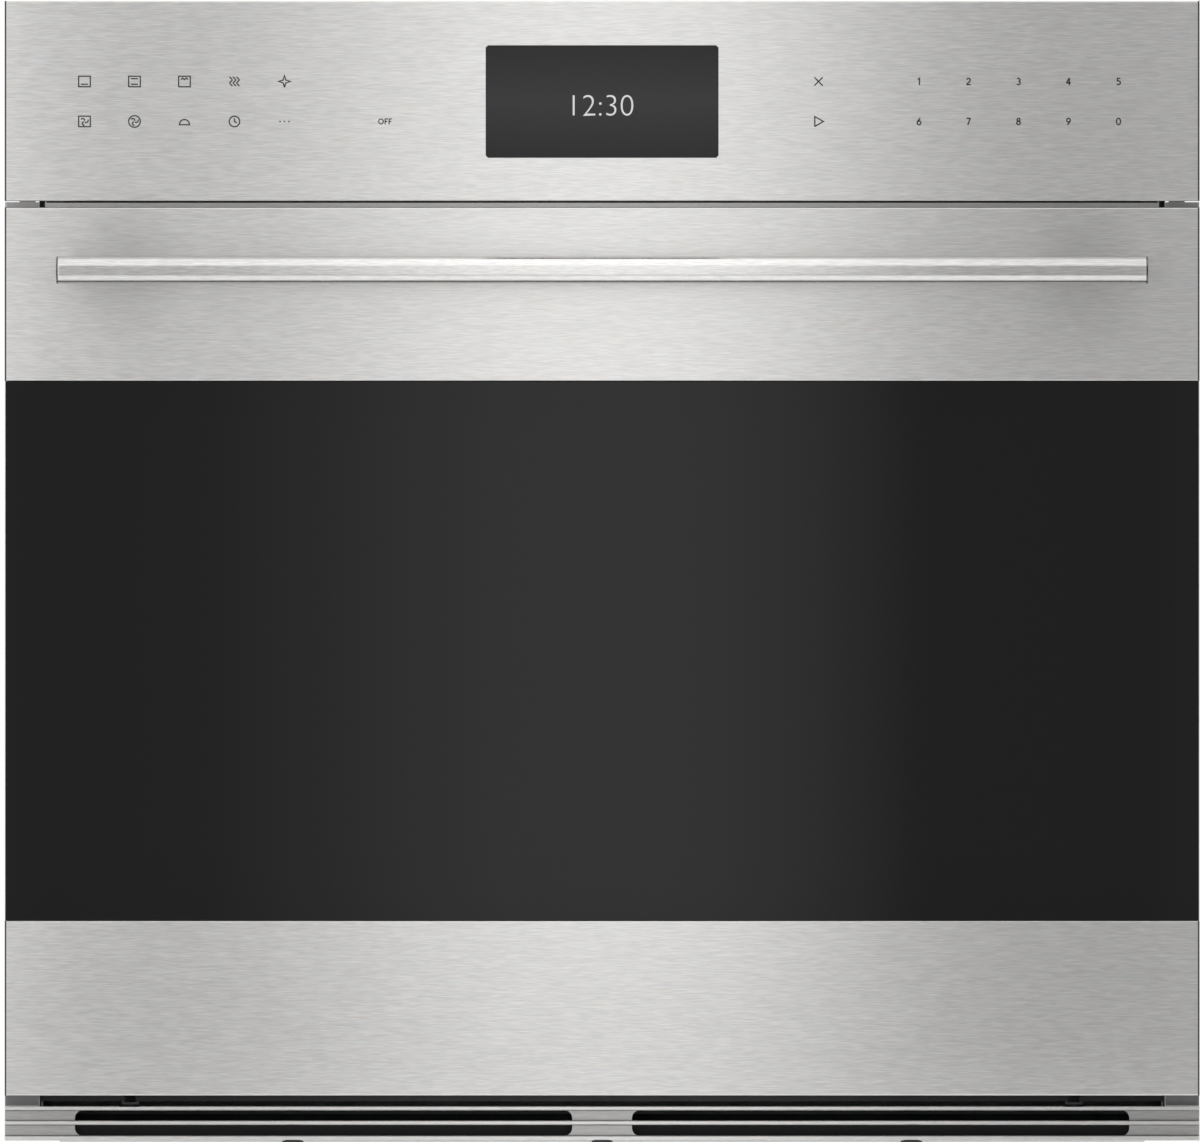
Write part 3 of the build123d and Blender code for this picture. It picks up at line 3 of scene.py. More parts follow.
import bpy
import numpy as np
from mathutils import Matrix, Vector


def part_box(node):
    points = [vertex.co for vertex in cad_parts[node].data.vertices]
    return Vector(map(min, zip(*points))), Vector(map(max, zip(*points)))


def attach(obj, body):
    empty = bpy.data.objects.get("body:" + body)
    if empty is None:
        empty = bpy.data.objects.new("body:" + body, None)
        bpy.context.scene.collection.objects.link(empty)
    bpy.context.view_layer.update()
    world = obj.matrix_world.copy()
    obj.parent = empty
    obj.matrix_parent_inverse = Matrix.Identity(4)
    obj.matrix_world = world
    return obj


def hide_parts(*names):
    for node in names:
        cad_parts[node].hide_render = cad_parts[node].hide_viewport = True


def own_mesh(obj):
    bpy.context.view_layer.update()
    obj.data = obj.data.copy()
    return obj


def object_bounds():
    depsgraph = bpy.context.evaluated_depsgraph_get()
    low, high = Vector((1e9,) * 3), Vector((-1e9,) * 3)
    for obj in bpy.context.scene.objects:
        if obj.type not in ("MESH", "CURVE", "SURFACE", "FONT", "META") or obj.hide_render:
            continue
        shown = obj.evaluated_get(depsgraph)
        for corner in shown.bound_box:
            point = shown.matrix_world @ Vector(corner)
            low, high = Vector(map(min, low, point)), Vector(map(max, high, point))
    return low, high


bl_info = {
    "name": "Wall oven finishes",
    "version": (1, 0, 0),
    "blender": (4, 5, 0),
    "location": "3D View > Sidebar > Wall oven",
    "description": "Dresses a built-in wall oven with its finishes, wires, controls and studio",
    "category": "Object",
}

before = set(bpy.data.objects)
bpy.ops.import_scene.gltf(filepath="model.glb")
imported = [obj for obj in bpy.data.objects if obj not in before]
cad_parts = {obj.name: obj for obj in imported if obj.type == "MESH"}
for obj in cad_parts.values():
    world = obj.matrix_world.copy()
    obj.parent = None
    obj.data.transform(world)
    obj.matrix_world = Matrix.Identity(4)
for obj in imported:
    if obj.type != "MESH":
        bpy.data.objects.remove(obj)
CAD_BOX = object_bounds()
MM = 0.001


# Sizes and colours that a user would change

def size_setting(name, description, default):
    """A length in metres."""
    return bpy.props.FloatProperty(name=name, description=description, default=default, unit="LENGTH")


def count_setting(name, description, default, fewest):
    """A number of like things."""
    return bpy.props.IntProperty(name=name, description=description, default=default, min=fewest, max=60)


def colour_setting(name, description, default):
    """A colour in linear red, green and blue."""
    return bpy.props.FloatVectorProperty(name=name, description=description, default=default, subtype="COLOR")


def light_setting(name, description, default):
    """The brightness of a light."""
    return bpy.props.FloatProperty(name=name, description=description, default=default, min=0.0)


class OvenSizes(bpy.types.PropertyGroup):
    """Sizes of the pieces that are drawn over the frame."""

    bar_edge: size_setting("Handle edge", "Rounding at the ends of the handle bar", 0.8 * MM)
    post_flare: size_setting("Post flare", "How far a handle post widens where it meets the door", 1.2 * MM)
    rack_rods: count_setting("Rack rods", "Straight rods across each rack", 25, 5)
    rack_bend: size_setting("Rack bend", "Bend radius at the rack's corners", 16 * MM)
    element_bend: size_setting("Element bend", "Bend radius of the upper heating tube", 42 * MM)
    floor_element_bend: size_setting("Floor element bend", "Bend radius of the lower heating tube", 90 * MM)
    spring_turns: count_setting("Spring turns", "Turns of each door spring", 22, 4)
    spring_wire: size_setting("Spring wire", "Radius of the door springs' wire", 0.36 * MM)
    figure_height: size_setting("Figure height", "Height of the key numbers", 4.9 * MM)
    word_height: size_setting("Word height", "Height of the word on the off key", 3.9 * MM)
    ink_stroke: bpy.props.FloatProperty(
        name="Ink stroke", description="Width of a number's strokes, as a share of its height", default=0.185,
        subtype="FACTOR", min=0.02, max=0.4)
    symbol_size: size_setting("Symbol size", "Width of a cooking symbol", 7.4 * MM)
    clock_height: size_setting("Clock height", "Height of the clock's figures", 14.2 * MM)
    ink_lift: size_setting("Ink lift", "How far printed marks stand off the panel", 0.06 * MM)


class OvenColours(bpy.types.PropertyGroup):
    """Base colours of the finishes."""

    steel_dark: colour_setting("Steel, dark grain", "Dark lines of the brushed steel", (0.465, 0.462, 0.457))
    steel_light: colour_setting(
        "Steel, light grain", "Light lines of the brushed steel", (0.815, 0.804, 0.788))
    door_black: colour_setting(
        "Door glass", "Black printed on the back of the door glass", (0.0026, 0.0026, 0.0027))
    display_grey: colour_setting("Display", "Unlit display", (0.010, 0.010, 0.0102))
    clock_white: colour_setting("Clock", "Light of the clock's figures", (0.66, 0.67, 0.67))
    ink: colour_setting("Ink", "Printed marks of the keys", (0.03, 0.03, 0.031))
    enamel: colour_setting("Cavity enamel", "Ground colour of the cavity's enamel", (0.022, 0.024, 0.029))
    speckle: colour_setting("Enamel speckle", "Pale specks in the enamel", (0.32, 0.34, 0.37))


class StageSettings(bpy.types.PropertyGroup):
    """Camera and light."""

    lens: bpy.props.FloatProperty(
        name="Lens", description="Focal length of the camera", default=1600.0, unit="CAMERA")
    view_width: size_setting("View width", "Width of the picture at the oven's face", 762.2 * MM)
    card_light: light_setting("Card light", "Brightness of the card in front of the oven", 1.0)
    top_light: light_setting("Top light", "Brightness of the card over the front", 1.5)
    low_light: light_setting("Low light", "Brightness of the card on the floor", 1.0)
    air_light: light_setting("Air light", "Brightness of the studio's air", 1.0)
    floor_reach: size_setting("Floor reach", "How far the floor runs to each side", 30.0)
    block_height: size_setting("Block height", "Height of the block that the casing stands on", 40 * MM)
    block_inset: size_setting(
        "Block inset", "How far the block lies in from the casing's sides and back", 12 * MM)


# Surfaces, each a grid of points from two parameters

def grid_faces(rows, columns, wrap_rows=False, wrap_columns=True):
    """Quads of a grid of points, row by row; a wrapped direction joins its last line to its first."""
    row = np.arange(rows if wrap_rows else rows - 1)[:, None]
    column = np.arange(columns if wrap_columns else columns - 1)[None, :]
    next_row = (row + 1) % rows
    next_column = (column + 1) % columns
    corners = (row * columns + column, row * columns + next_column,
               next_row * columns + next_column, next_row * columns + column)
    return np.stack(corners, axis=-1).reshape(-1, 4).tolist()


def end_faces(rings, sides):
    """Faces that close the first and the last ring of a grid."""
    last = (rings - 1) * sides
    return [list(range(sides))[::-1], list(range(last, last + sides))]


def around(sides):
    """Angles of the points of a ring."""
    return np.linspace(0, 2 * pi, sides, endpoint=False)


def quarter(steps):
    """Angles of a quarter turn."""
    return np.linspace(0, pi / 2, steps)


def unit(vectors):
    """Each vector divided by its length."""
    return vectors / np.linalg.norm(vectors, axis=-1, keepdims=True)


def square_to(axis):
    """An axis with two directions that are square to it and to each other."""
    axis = np.asarray(axis, float)
    u = np.roll(axis, 1)
    return axis, u, np.cross(axis, u)


def at_height(flat, z):
    """Points drawn in X and Y, lifted to a height."""
    return np.column_stack([flat, np.full(len(flat), z)])


def tube(path, radius, binormal, sides, closed=False):
    """A round bar along a path: point(s, a) = path(s) + radius(s) (cos a N(s) + sin a B(s)).

    B is the given direction made square to the path's tangent and N is square to both."""
    path = np.asarray(path, float)
    ahead = np.roll(path, -1, axis=0) - np.roll(path, 1, axis=0)
    if not closed:
        ahead[0] = path[1] - path[0]
        ahead[-1] = path[-1] - path[-2]
    along = unit(ahead)
    binormal = np.asarray(binormal, float)
    b = unit(binormal - (along @ binormal)[:, None] * along)
    n = np.cross(b, along)
    a = around(sides)[None, :, None]
    size = np.broadcast_to(np.asarray(radius, float), (len(path),))[:, None, None]
    points = path[:, None] + size * (np.cos(a) * n[:, None] + np.sin(a) * b[:, None])
    faces = grid_faces(len(path), sides, wrap_rows=closed)
    if not closed:
        faces = faces + end_faces(len(path), sides)
    return points.reshape(-1, 3), faces


def bar(start, end, radius, edge, sides, binormal=None):
    """A straight round bar whose ends are rounded: r(s) falls by edge (1 - sin t) as s nears an end.

    A ring just past each rounding keeps the shading even along the bar."""
    start = np.asarray(start, float)
    end = np.asarray(end, float)
    length = np.linalg.norm(end - start)
    t = quarter(5)
    near = np.append(edge * (1 - np.cos(t)), min(3 * edge, 0.4 * length))
    place = np.concatenate([near, length - near[::-1]]) / length
    fall = np.append(radius - edge * (1 - np.sin(t)), radius)
    size = np.concatenate([fall, fall[::-1]])
    if binormal is None:
        binormal = np.roll(np.abs(end - start) > 0.5 * length, 1).astype(float)
    return tube(start + place[:, None] * (end - start), size, binormal, sides)


def turned(profile, centre, axis, sides):
    """A profile of (radius, height) turned about an axis.

    point(h, a) = centre + h axis + r (cos a U + sin a V), where U and V are square to the axis."""
    profile = np.asarray(profile, float)
    axis, u, v = square_to(axis)
    a = around(sides)[None, :, None]
    ring = np.cos(a) * u + np.sin(a) * v
    points = np.asarray(centre, float) + profile[:, 1, None, None] * axis + profile[:, 0, None, None] * ring
    faces = grid_faces(len(profile), sides) + end_faces(len(profile), sides)
    return points.reshape(-1, 3), faces


def loop(half_width, half_height, bend, steps):
    """Corners of a rounded rectangle: at each corner, centre + bend (cos a, sin a) for a quarter turn."""
    a = quarter(steps)[None, :] + np.arange(4)[:, None] * pi / 2
    sign_x = np.array([1, -1, -1, 1])[:, None]
    sign_y = np.array([1, 1, -1, -1])[:, None]
    x = sign_x * (half_width - bend) + bend * np.cos(a)
    y = sign_y * (half_height - bend) + bend * np.sin(a)
    return np.column_stack([x.ravel(), y.ravel()])


def bent(points, bend, steps=14):
    """A wire with square turns: at each turn P the arc is P + r (d1 + d2) - r (d2 cos t + d1 sin t).

    d1 and d2 point from the turn to the points before and after it."""
    points = np.asarray(points, float)
    before = unit(points[:-2] - points[1:-1])[:, None]
    after = unit(points[2:] - points[1:-1])[:, None]
    t = quarter(steps)[None, :, None]
    arcs = points[1:-1, None] + bend * (before + after) - bend * (after * np.cos(t) + before * np.sin(t))
    return np.concatenate([points[:1], arcs.reshape(-1, points.shape[1]), points[-1:]])


def ribbon(points, width):
    """A flat stroke along a line drawn in X and Z, mitred at its turns: edge(s) = line(s) +- M(s) width / 2.

    M is the mean of the normals before and after a turn, lengthened so that the stroke keeps its width."""
    points = np.asarray(points, float)
    ahead = unit(np.diff(points, axis=0))
    left = np.stack([-ahead[:, 1], ahead[:, 0]], axis=-1)
    before = np.concatenate([left[:1], left])
    after = np.concatenate([left, left[-1:]])
    middle = unit(before + after)
    reach = 1 / np.clip(np.sum(middle * before, axis=-1, keepdims=True), 0.4, 1)
    edge = middle * reach * width / 2
    flat = np.stack([points + edge, points - edge], axis=1)
    solid = np.zeros(flat.shape[:2] + (3,))
    solid[..., 0] = flat[..., 0]
    solid[..., 2] = flat[..., 1]
    return solid.reshape(-1, 3), grid_faces(len(points), 2, wrap_columns=False)


def joined(shapes):
    """Several surfaces as one list of points and faces."""
    points = []
    faces = []
    count = 0
    for shape_points, shape_faces in shapes:
        points.append(np.asarray(shape_points, float))
        faces += [[corner + count for corner in face] for face in shape_faces]
        count += len(shape_points)
    return np.concatenate(points), faces


# Materials by the names of their finishes, filled by the first operator
FINISHES = {}


def piece(name, shape, finish, body, stands_for=None, crease=35.0, thickness=0.0):
    """A mesh of one surface or several, smooth up to a crease, that rides on a body.

    It may stand for a node of the frame, and a flat one gets a thickness."""
    points, faces = shape
    mesh = bpy.data.meshes.new(name)
    mesh.from_pydata(points.tolist(), [], faces)
    mesh.update()
    mesh.shade_smooth()
    mesh.set_sharp_from_angle(angle=radians(crease))
    mesh.materials.append(FINISHES[finish])
    made = bpy.data.objects.new(name, mesh)
    bpy.context.scene.collection.objects.link(made)
    if thickness:
        layer = made.modifiers.new("layer", "SOLIDIFY")
        layer.thickness = thickness
        layer.offset = -1.0
    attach(made, body)
    if stands_for:
        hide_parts(stands_for)
    return made


def span(node):
    """Lowest and highest corner of a node, and its middle."""
    low, high = (np.array(corner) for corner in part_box(node))
    return low, high, (low + high) / 2


# Finishes

def sum_method(operation, other_first=False):
    """A method that adds a Math node for a wire and another value, in either order."""
    def method(self, other):
        pair = (other, self) if other_first else (self, other)
        return self.finish.maths(operation, *pair)
    return method


class Wire:
    """A node's output that can be used in sums."""

    def __init__(self, finish, socket):
        self.finish = finish
        self.socket = socket

    def __abs__(self):
        return self.finish.maths("ABSOLUTE", self)

    __add__ = sum_method("ADD")
    __radd__ = sum_method("ADD", other_first=True)
    __sub__ = sum_method("SUBTRACT")
    __rsub__ = sum_method("SUBTRACT", other_first=True)
    __mul__ = sum_method("MULTIPLY")
    __rmul__ = sum_method("MULTIPLY", other_first=True)
    __lt__ = sum_method("LESS_THAN")
    __gt__ = sum_method("GREATER_THAN")


class Finish:
    """A material whose pattern is worked out from the place on the oven."""

    def __init__(self, name):
        self.material = bpy.data.materials.new(name)
        self.material.use_nodes = True
        self.tree = self.material.node_tree
        self.tree.nodes.clear()
        self.place = self.node("ShaderNodeTexCoord", output="Object")

    def node(self, kind, settings=None, inputs=None, output=0):
        """Adds a node, sets it up, then fills or links its sockets.

        Gives one of its outputs, or a list where several are named."""
        made = self.tree.nodes.new(kind)
        for key, value in (settings or {}).items():
            if key == "stops":
                self.set_stops(made.color_ramp, value)
            else:
                setattr(made, key, value)
        for key, value in (inputs or {}).items():
            if isinstance(value, Wire):
                self.tree.links.new(value.socket, made.inputs[key])
            else:
                made.inputs[key].default_value = value
        if isinstance(output, tuple):
            return [Wire(self, made.outputs[name]) for name in output]
        return Wire(self, made.outputs[output]) if len(made.outputs) else None

    def set_stops(self, ramp, stops):
        """Sets a ramp's places and grey levels."""
        while len(ramp.elements) < len(stops):
            ramp.elements.new(0.5)
        for element, (place, level) in zip(ramp.elements, stops):
            element.position = place
            element.color = (level, level, level, 1)

    def maths(self, operation, first, second=0.0):
        """A sum of one or two values."""
        return self.node("ShaderNodeMath", {"operation": operation}, {0: first, 1: second})

    def waves(self, value):
        """The sine of a value."""
        return self.maths("SINE", value)

    def hump(self, distance):
        """1 where a distance is 0, falling as 1 - d^2 to 0 where it is 1 or more."""
        return self.maths("MAXIMUM", 1.0 - distance * distance, 0.0)

    def mix(self, low, high, share):
        """A colour between two colours."""
        ends = [value if isinstance(value, Wire) else (*value[:3], 1) for value in (low, high)]
        return self.node("ShaderNodeMix", {"data_type": "RGBA"}, {0: share, 6: ends[0], 7: ends[1]}, 2)

    def shades(self, colour, low, high, share):
        """A tone between two multiples of one colour."""
        return self.mix(shade(colour, low), shade(colour, high), share)

    def noise(self, clouds, detail=2.0, shift=(0.0, 0.0, 0.0)):
        """Cloudy grey from 0 to 1 with a number of clouds per metre, the same or one along each axis."""
        stretch = clouds if isinstance(clouds, tuple) else (clouds, clouds, clouds)
        mapping = {"Vector": self.place, "Scale": stretch, "Location": shift}
        place = self.node("ShaderNodeMapping", None, mapping)
        return self.node("ShaderNodeTexNoise", None, {"Vector": place, "Scale": 1.0, "Detail": detail})

    def cells(self, density, output="Distance"):
        """Distance from, or colour of, the nearest of many scattered points."""
        return self.node("ShaderNodeTexVoronoi", None, {"Vector": self.place, "Scale": density}, output)

    def axes(self):
        """The place's X, Y and Z."""
        return self.node("ShaderNodeSeparateXYZ", None, {"Vector": self.place}, ("X", "Y", "Z"))

    def bump(self, height, depth, strength):
        """A relief of a given depth in metres."""
        return self.node("ShaderNodeBump", None, {"Height": height, "Distance": depth, "Strength": strength})

    def surface(self, **sockets):
        """The shader and its output; a name's underscores stand for spaces."""
        inputs = {key.replace("_", " "): value for key, value in sockets.items()}
        for key, value in inputs.items():
            if isinstance(value, tuple) and len(value) == 3 and "Color" in key:
                inputs[key] = (*value, 1)
        shader = self.node("ShaderNodeBsdfPrincipled", None, inputs)
        self.node("ShaderNodeOutputMaterial", None, {"Surface": shader})
        return self.material


def shade(colour, share):
    """A colour made darker or lighter."""
    return tuple(share * part for part in colour)


def warmed(colour, warmth):
    """A colour with more red and less blue, or the other way round."""
    return (colour[0] + warmth, colour[1], colour[2] - warmth)


# Lines of the brushed steel per metre along X, Y and Z, on sheets and on the handle, and their relief
GRAIN = (106, 2200, 2200)
BAR_GRAIN = (110, 1500, 1500)
GRAIN_DEPTH = 0.03 * MM
GRAIN_RELIEF = 0.08
DARKEST_LINE = 0.34
# Black of the painted shade on the rail and the casing sides, and ground of the black frame enamel
SHADE_AND_ENAMEL_BLACK = (0.012, 0.012, 0.013)


def brushed_colour(finish, dark, light, grain):
    """Short lines along X in a tone between dark and light, tinted warm or cool.

    Gives the colour and the lines' tone, which has a floor so that no line turns black."""
    broad = (3, grain[1] / 3, grain[2] / 3)
    lines = finish.noise(grain, 1.0) * 0.93 + finish.noise(broad, 1.0) * 0.07
    lines = finish.maths("MAXIMUM", lines, DARKEST_LINE)
    tint = finish.noise(shade(grain, 0.8), 0.0, (7.0, 5.0, 3.0))
    warm, cool = [finish.mix(warmed(dark, warmth), warmed(light, warmth), lines) for warmth in (0.02, -0.02)]
    return finish.mix(warm, cool, tint), lines


def steel_surface(finish, colour, lines, rough):
    """Brushed steel of a given colour, a little rougher on its light lines."""
    return finish.surface(
        Base_Color=colour,
        Metallic=1.0,
        Roughness=rough + (lines - 0.5) * 0.08,
        Normal=finish.bump(lines, GRAIN_DEPTH, GRAIN_RELIEF),
    )


def face_finish(dark, light):
    """Brushed steel of the face: painted shade on its rounded side edges, a painted shadow round the handle's
    posts.
    """
    finish = Finish("face_steel")
    # Where the painted shade along the rounded side edges begins and ends
    edge_starts = CAD_BOX[1][0] - 1.1 * MM
    edge_ends = CAD_BOX[1][0] - 0.03 * MM
    # Place and size of the painted shadow round each handle post
    post_shadow_x = 304 * MM
    post_shadow_width = 46 * MM
    post_shadow_height = 62 * MM
    x, _, z = finish.axes()
    side = abs(x)
    colour, lines = brushed_colour(finish, dark, light, GRAIN)
    # Painted shade along the rounded side edges
    edge = (side > edge_starts) * (side < edge_ends)
    far_x = (side - post_shadow_x) * (1 / post_shadow_width)
    far_z = (z - span("handle_bar")[2][2]) * (1 / post_shadow_height)
    # Painted shadow: a soft dark patch round each handle post
    patch = finish.hump(far_x) * finish.hump(far_z)
    colour = finish.mix(colour, shade(dark, 0.5), patch * patch * 0.25)
    return steel_surface(finish, finish.mix(colour, shade(dark, 0.3), edge), lines, 0.29)


def bar_finish(dark, light):
    """Brushed steel of the handle, with painted shade on the rounded ends of its bar."""
    finish = Finish("bar_steel")
    end_shade_length = 1.2 * MM
    x, _, _ = finish.axes()
    colour, lines = brushed_colour(finish, dark, light, BAR_GRAIN)
    # Painted shade on the rounded ends of the bar
    end = abs(x) > span("handle_bar")[1][0] - end_shade_length
    return steel_surface(finish, finish.mix(colour, shade(dark, 0.3), end), lines, 0.21)


def trim_finish(dark, light):
    """Brushed trim: plain steel fins, painted shade on the recessed plate and along each crease, and painted
    black shade behind it.
    """
    finish = Finish("vent_trim_steel")
    low, high, _ = span("bottom_vent_trim")
    upper_fin = 2.6 * MM
    lower_fin = 3.0 * MM
    # Half width of the painted shade along each crease of the fins
    crease = 0.4 * MM
    fin_back = low[1] + 3.0 * MM
    plate_back = low[1] + 9.5 * MM
    _, y, z = finish.axes()
    fin_edges = (low[2] + lower_fin, 0.0, upper_fin, high[2] - upper_fin)
    # Painted shade along each crease above and below the fins
    crease_shade = sum(abs(z - edge) < crease for edge in fin_edges)
    steel, grain = brushed_colour(finish, dark, light, GRAIN)
    # Painted shade: the recessed plate is the same steel, darkened
    plate = finish.mix(shade(dark, 0.66), shade(light, 0.66), grain)
    plate = finish.mix(plate, shade(dark, 0.3), crease_shade)
    front = finish.mix(steel, plate, y > fin_back)
    # Painted shade: black and not metallic deeper than the plate, within the slots
    inside = y > plate_back
    return finish.surface(
        Base_Color=finish.mix(front, (0.006, 0.006, 0.0065), inside),
        Metallic=1.0 - inside,
        Roughness=0.27 + grain * 0.1 + inside * 0.3,
        Normal=finish.bump(grain, 0.04 * MM, 0.25),
    )


def rail_finish(dark, light):
    """Brushed rail under the control panel, with the shadow line of its air outlet."""
    finish = Finish("rail_sheet")
    outlet = span("control_fascia")[0][2] - 1.0 * MM
    end = span("upper_rail")[1][0] - 0.8 * MM
    x, _, z = finish.axes()
    line = (z > outlet) * (abs(x) < end)
    colour, grain = brushed_colour(finish, dark, light, GRAIN)
    return finish.surface(
        Base_Color=finish.mix(colour, SHADE_AND_ENAMEL_BLACK, line),
        Metallic=1.0 - line,
        Roughness=0.34 + grain * 0.08,
        Normal=finish.bump(grain, GRAIN_DEPTH, GRAIN_RELIEF),
    )


def door_glass_finish(black):
    """Black glass, faintly uneven in gloss, with a printed field of fine dots."""
    finish = Finish("black_door_glass")
    dot_waves = 1570.0
    field_z = 310 * MM
    field_half_width = 300 * MM
    field_half_height = 140 * MM
    x, _, z = finish.axes()
    dots = finish.waves(x * dot_waves) * finish.waves(z * dot_waves)
    field = (abs(x) < field_half_width) * (abs(z - field_z) < field_half_height)
    smear = finish.noise((14, 14, 9), 4.0)
    return finish.surface(
        Base_Color=finish.shades(black, 1.0, 1.5, (dots > 0.55) * field),
        Roughness=0.03 + smear * 0.05,
        Specular_IOR_Level=0.29,
        IOR=1.5,
    )


def display_finish(grey):
    """Smoked plastic with a faint smear and a painted glow, lighter across the middle as if lit from behind.
    """
    finish = Finish("display_window")
    low, high, middle = span("display_glass")
    _, _, z = finish.axes()
    smear = finish.noise(60, 3.0)
    # Painted glow, lightest along the middle of the window
    glow = 1.0 - abs(z - middle[2]) * (2 / (high[2] - low[2]))
    return finish.surface(
        Base_Color=finish.shades(grey, 0.4, 2.2, glow * 0.9 + smear * 0.1),
        Roughness=0.14 + smear * 0.1,
        Specular_IOR_Level=0.25,
    )


def enamel_finish(name, ground, speck, density, gloss):
    """Fired enamel: a dark ground with pale specks and a faint ripple."""
    finish = Finish(name)
    specks = (finish.cells(density) < 0.2) * (finish.noise(90) > 0.5)
    ripple = finish.noise(70)
    return finish.surface(
        Base_Color=finish.mix(ground, speck, specks * 0.7),
        Roughness=gloss + ripple * 0.12,
        Normal=finish.bump(ripple, 0.2 * MM, 0.25),
        Specular_IOR_Level=0.5,
    )


def galvanised_finish(name, shade_black_before):
    """Zinc-coated sheet with its spangle and clouds, with painted black shade in front of a given depth."""
    finish = Finish(name)
    _, y, _ = finish.axes()
    spangle = finish.cells(75.0, "Color") * 1.0
    cloud = finish.noise(7, 4.0)
    tone = spangle * 0.55 + cloud * 0.45
    # Painted shade: black and not metallic in front of the given depth
    black = y < shade_black_before
    zinc = finish.mix((0.44, 0.46, 0.47), (0.64, 0.66, 0.67), tone)
    return finish.surface(
        Base_Color=finish.mix(zinc, SHADE_AND_ENAMEL_BLACK, black),
        Metallic=1.0 - black,
        Roughness=0.34 + tone * 0.2,
        Normal=finish.bump(spangle, 0.06 * MM, 0.2),
    )


def painted_finish(name, colour, rough):
    """Powder-coated steel with a fine orange peel."""
    finish = Finish(name)
    peel = finish.noise(420)
    cloud = finish.noise(9, 3.0)
    return finish.surface(
        Base_Color=finish.shades(colour, 0.86, 1.12, cloud),
        Roughness=rough + (peel - 0.5) * 0.2,
        Normal=finish.bump(peel, 0.12 * MM, 0.3),
    )


def flange_finish():
    """Plated side flanges, with painted shade at their foot and painted light towards the control panel."""
    finish = Finish("flange_sheet")
    shaded_below = 100 * MM
    lit_above = 500 * MM
    _, _, z = finish.axes()
    cloud = finish.noise(40, 4.0)
    # Painted light and shade: darker at the foot, lighter towards the top
    height = finish.node("ShaderNodeMapRange", None,
                         {"Value": z, "From Min": shaded_below, "From Max": lit_above})
    colour = finish.mix((0.19, 0.19, 0.192), (0.52, 0.515, 0.51), height * 0.85 + cloud * 0.15)
    return finish.surface(Base_Color=colour, Metallic=1.0, Roughness=0.34 + cloud * 0.16)


def plated_finish(name, dark, light, rough):
    """Plated steel, cloudy and finely scratched."""
    finish = Finish(name)
    cloud = finish.noise(40, 4.0)
    scratch = finish.noise((1400, 300, 300), 1.0)
    tone = cloud * 0.7 + scratch * 0.3
    return finish.surface(
        Base_Color=finish.mix(dark, light, tone),
        Metallic=1.0,
        Roughness=rough + tone * 0.16,
        Normal=finish.bump(scratch, 0.03 * MM, 0.2),
    )


def wire_finish():
    """Bright plated wire with a straw tint where it has been hot."""
    finish = Finish("rack_wire")
    heat = finish.noise((11, 7, 11), 3.0)
    fine = finish.noise(900, 1.0)
    straw = finish.mix((0.80, 0.80, 0.79), (0.70, 0.63, 0.52), (heat - 0.42) * 2.2)
    return finish.surface(Base_Color=straw, Metallic=1.0, Roughness=0.13 + fine * 0.12 + heat * 0.06)


def element_finish():
    """A heating tube's oxide, patchy from grey to brown."""
    finish = Finish("heating_tube")
    patch = finish.noise(22, 4.0)
    grit = finish.noise(900)
    return finish.surface(
        Base_Color=finish.mix((0.045, 0.043, 0.042), (0.13, 0.11, 0.095), patch),
        Metallic=0.6,
        Roughness=0.48 + grit * 0.2,
        Normal=finish.bump(grit, 0.08 * MM, 0.4),
    )


def gasket_finish():
    """Braided glass fibre: two sets of slanting strands that cross."""
    finish = Finish("gasket_braid")
    strand_waves = 2400.0
    x, y, z = finish.axes()
    one = finish.waves((x + z + y) * strand_waves)
    other = finish.waves((x - z + y) * strand_waves)
    strands = finish.maths("MAXIMUM", one, other) * 0.5 + 0.5
    fuzz = finish.noise(1500)
    return finish.surface(
        Base_Color=finish.mix((0.045, 0.045, 0.046), (0.20, 0.20, 0.20), strands * 0.7 + fuzz * 0.3),
        Roughness=0.85 + fuzz * 0.1,
        Normal=finish.bump(strands, 0.5 * MM, 0.7),
    )


def fibre_finish():
    """Glass wool: pale yellow, matted."""
    finish = Finish("glass_wool")
    mat = finish.noise((260, 40, 260), 5.0)
    lump = finish.noise(30, 3.0)
    return finish.surface(
        Base_Color=finish.mix((0.50, 0.42, 0.20), (0.80, 0.74, 0.52), mat),
        Roughness=0.9 + lump * 0.08,
        Normal=finish.bump(mat * 0.6 + lump, 2 * MM, 0.8),
    )


def circuit_finish():
    """Circuit board: green lacquer over copper lanes."""
    finish = Finish("circuit_board")
    lanes_along = 900.0
    lanes_across = 700.0
    x, y, z = finish.axes()
    lanes = finish.waves(x * lanes_along) * finish.waves((y + z) * lanes_across)
    grain = finish.noise(300)
    return finish.surface(
        Base_Color=finish.mix((0.008, 0.07, 0.03), (0.02, 0.16, 0.06), (lanes > 0.35) * 0.7 + grain * 0.3),
        Roughness=0.3 + grain * 0.15,
    )


def moulded_finish(name, colour, rough):
    """Moulded plastic or rubber with a fine grain."""
    finish = Finish(name)
    grain = finish.noise(1300)
    cloud = finish.noise(25)
    return finish.surface(
        Base_Color=finish.shades(colour, 0.8, 1.25, cloud),
        Roughness=rough + grain * 0.12,
        Normal=finish.bump(grain, 0.1 * MM, 0.35),
    )


def clear_glass_finish(name, colour, clear, rough):
    """See-through glass with a faint film."""
    finish = Finish(name)
    film = finish.noise(18, 4.0)
    return finish.surface(
        Base_Color=colour,
        Roughness=rough + film * 0.06,
        Alpha=clear + film * 0.1,
        Specular_IOR_Level=0.5,
    )


def ink_finish(ink):
    """Printed ink, slightly uneven."""
    finish = Finish("key_ink")
    press = finish.noise(700)
    return finish.surface(Base_Color=finish.shades(ink, 0.8, 1.3, press), Roughness=0.5 + press * 0.15)


def clock_finish(white):
    """Lit figures with a faint flicker of brightness between dots."""
    finish = Finish("clock_light")
    dots = finish.noise(900, 1.0)
    return finish.surface(
        Base_Color=(0.02, 0.02, 0.02),
        Emission_Color=finish.shades(white, 0.9, 1.0, dots),
        Emission_Strength=1.0,
        Roughness=0.4,
    )


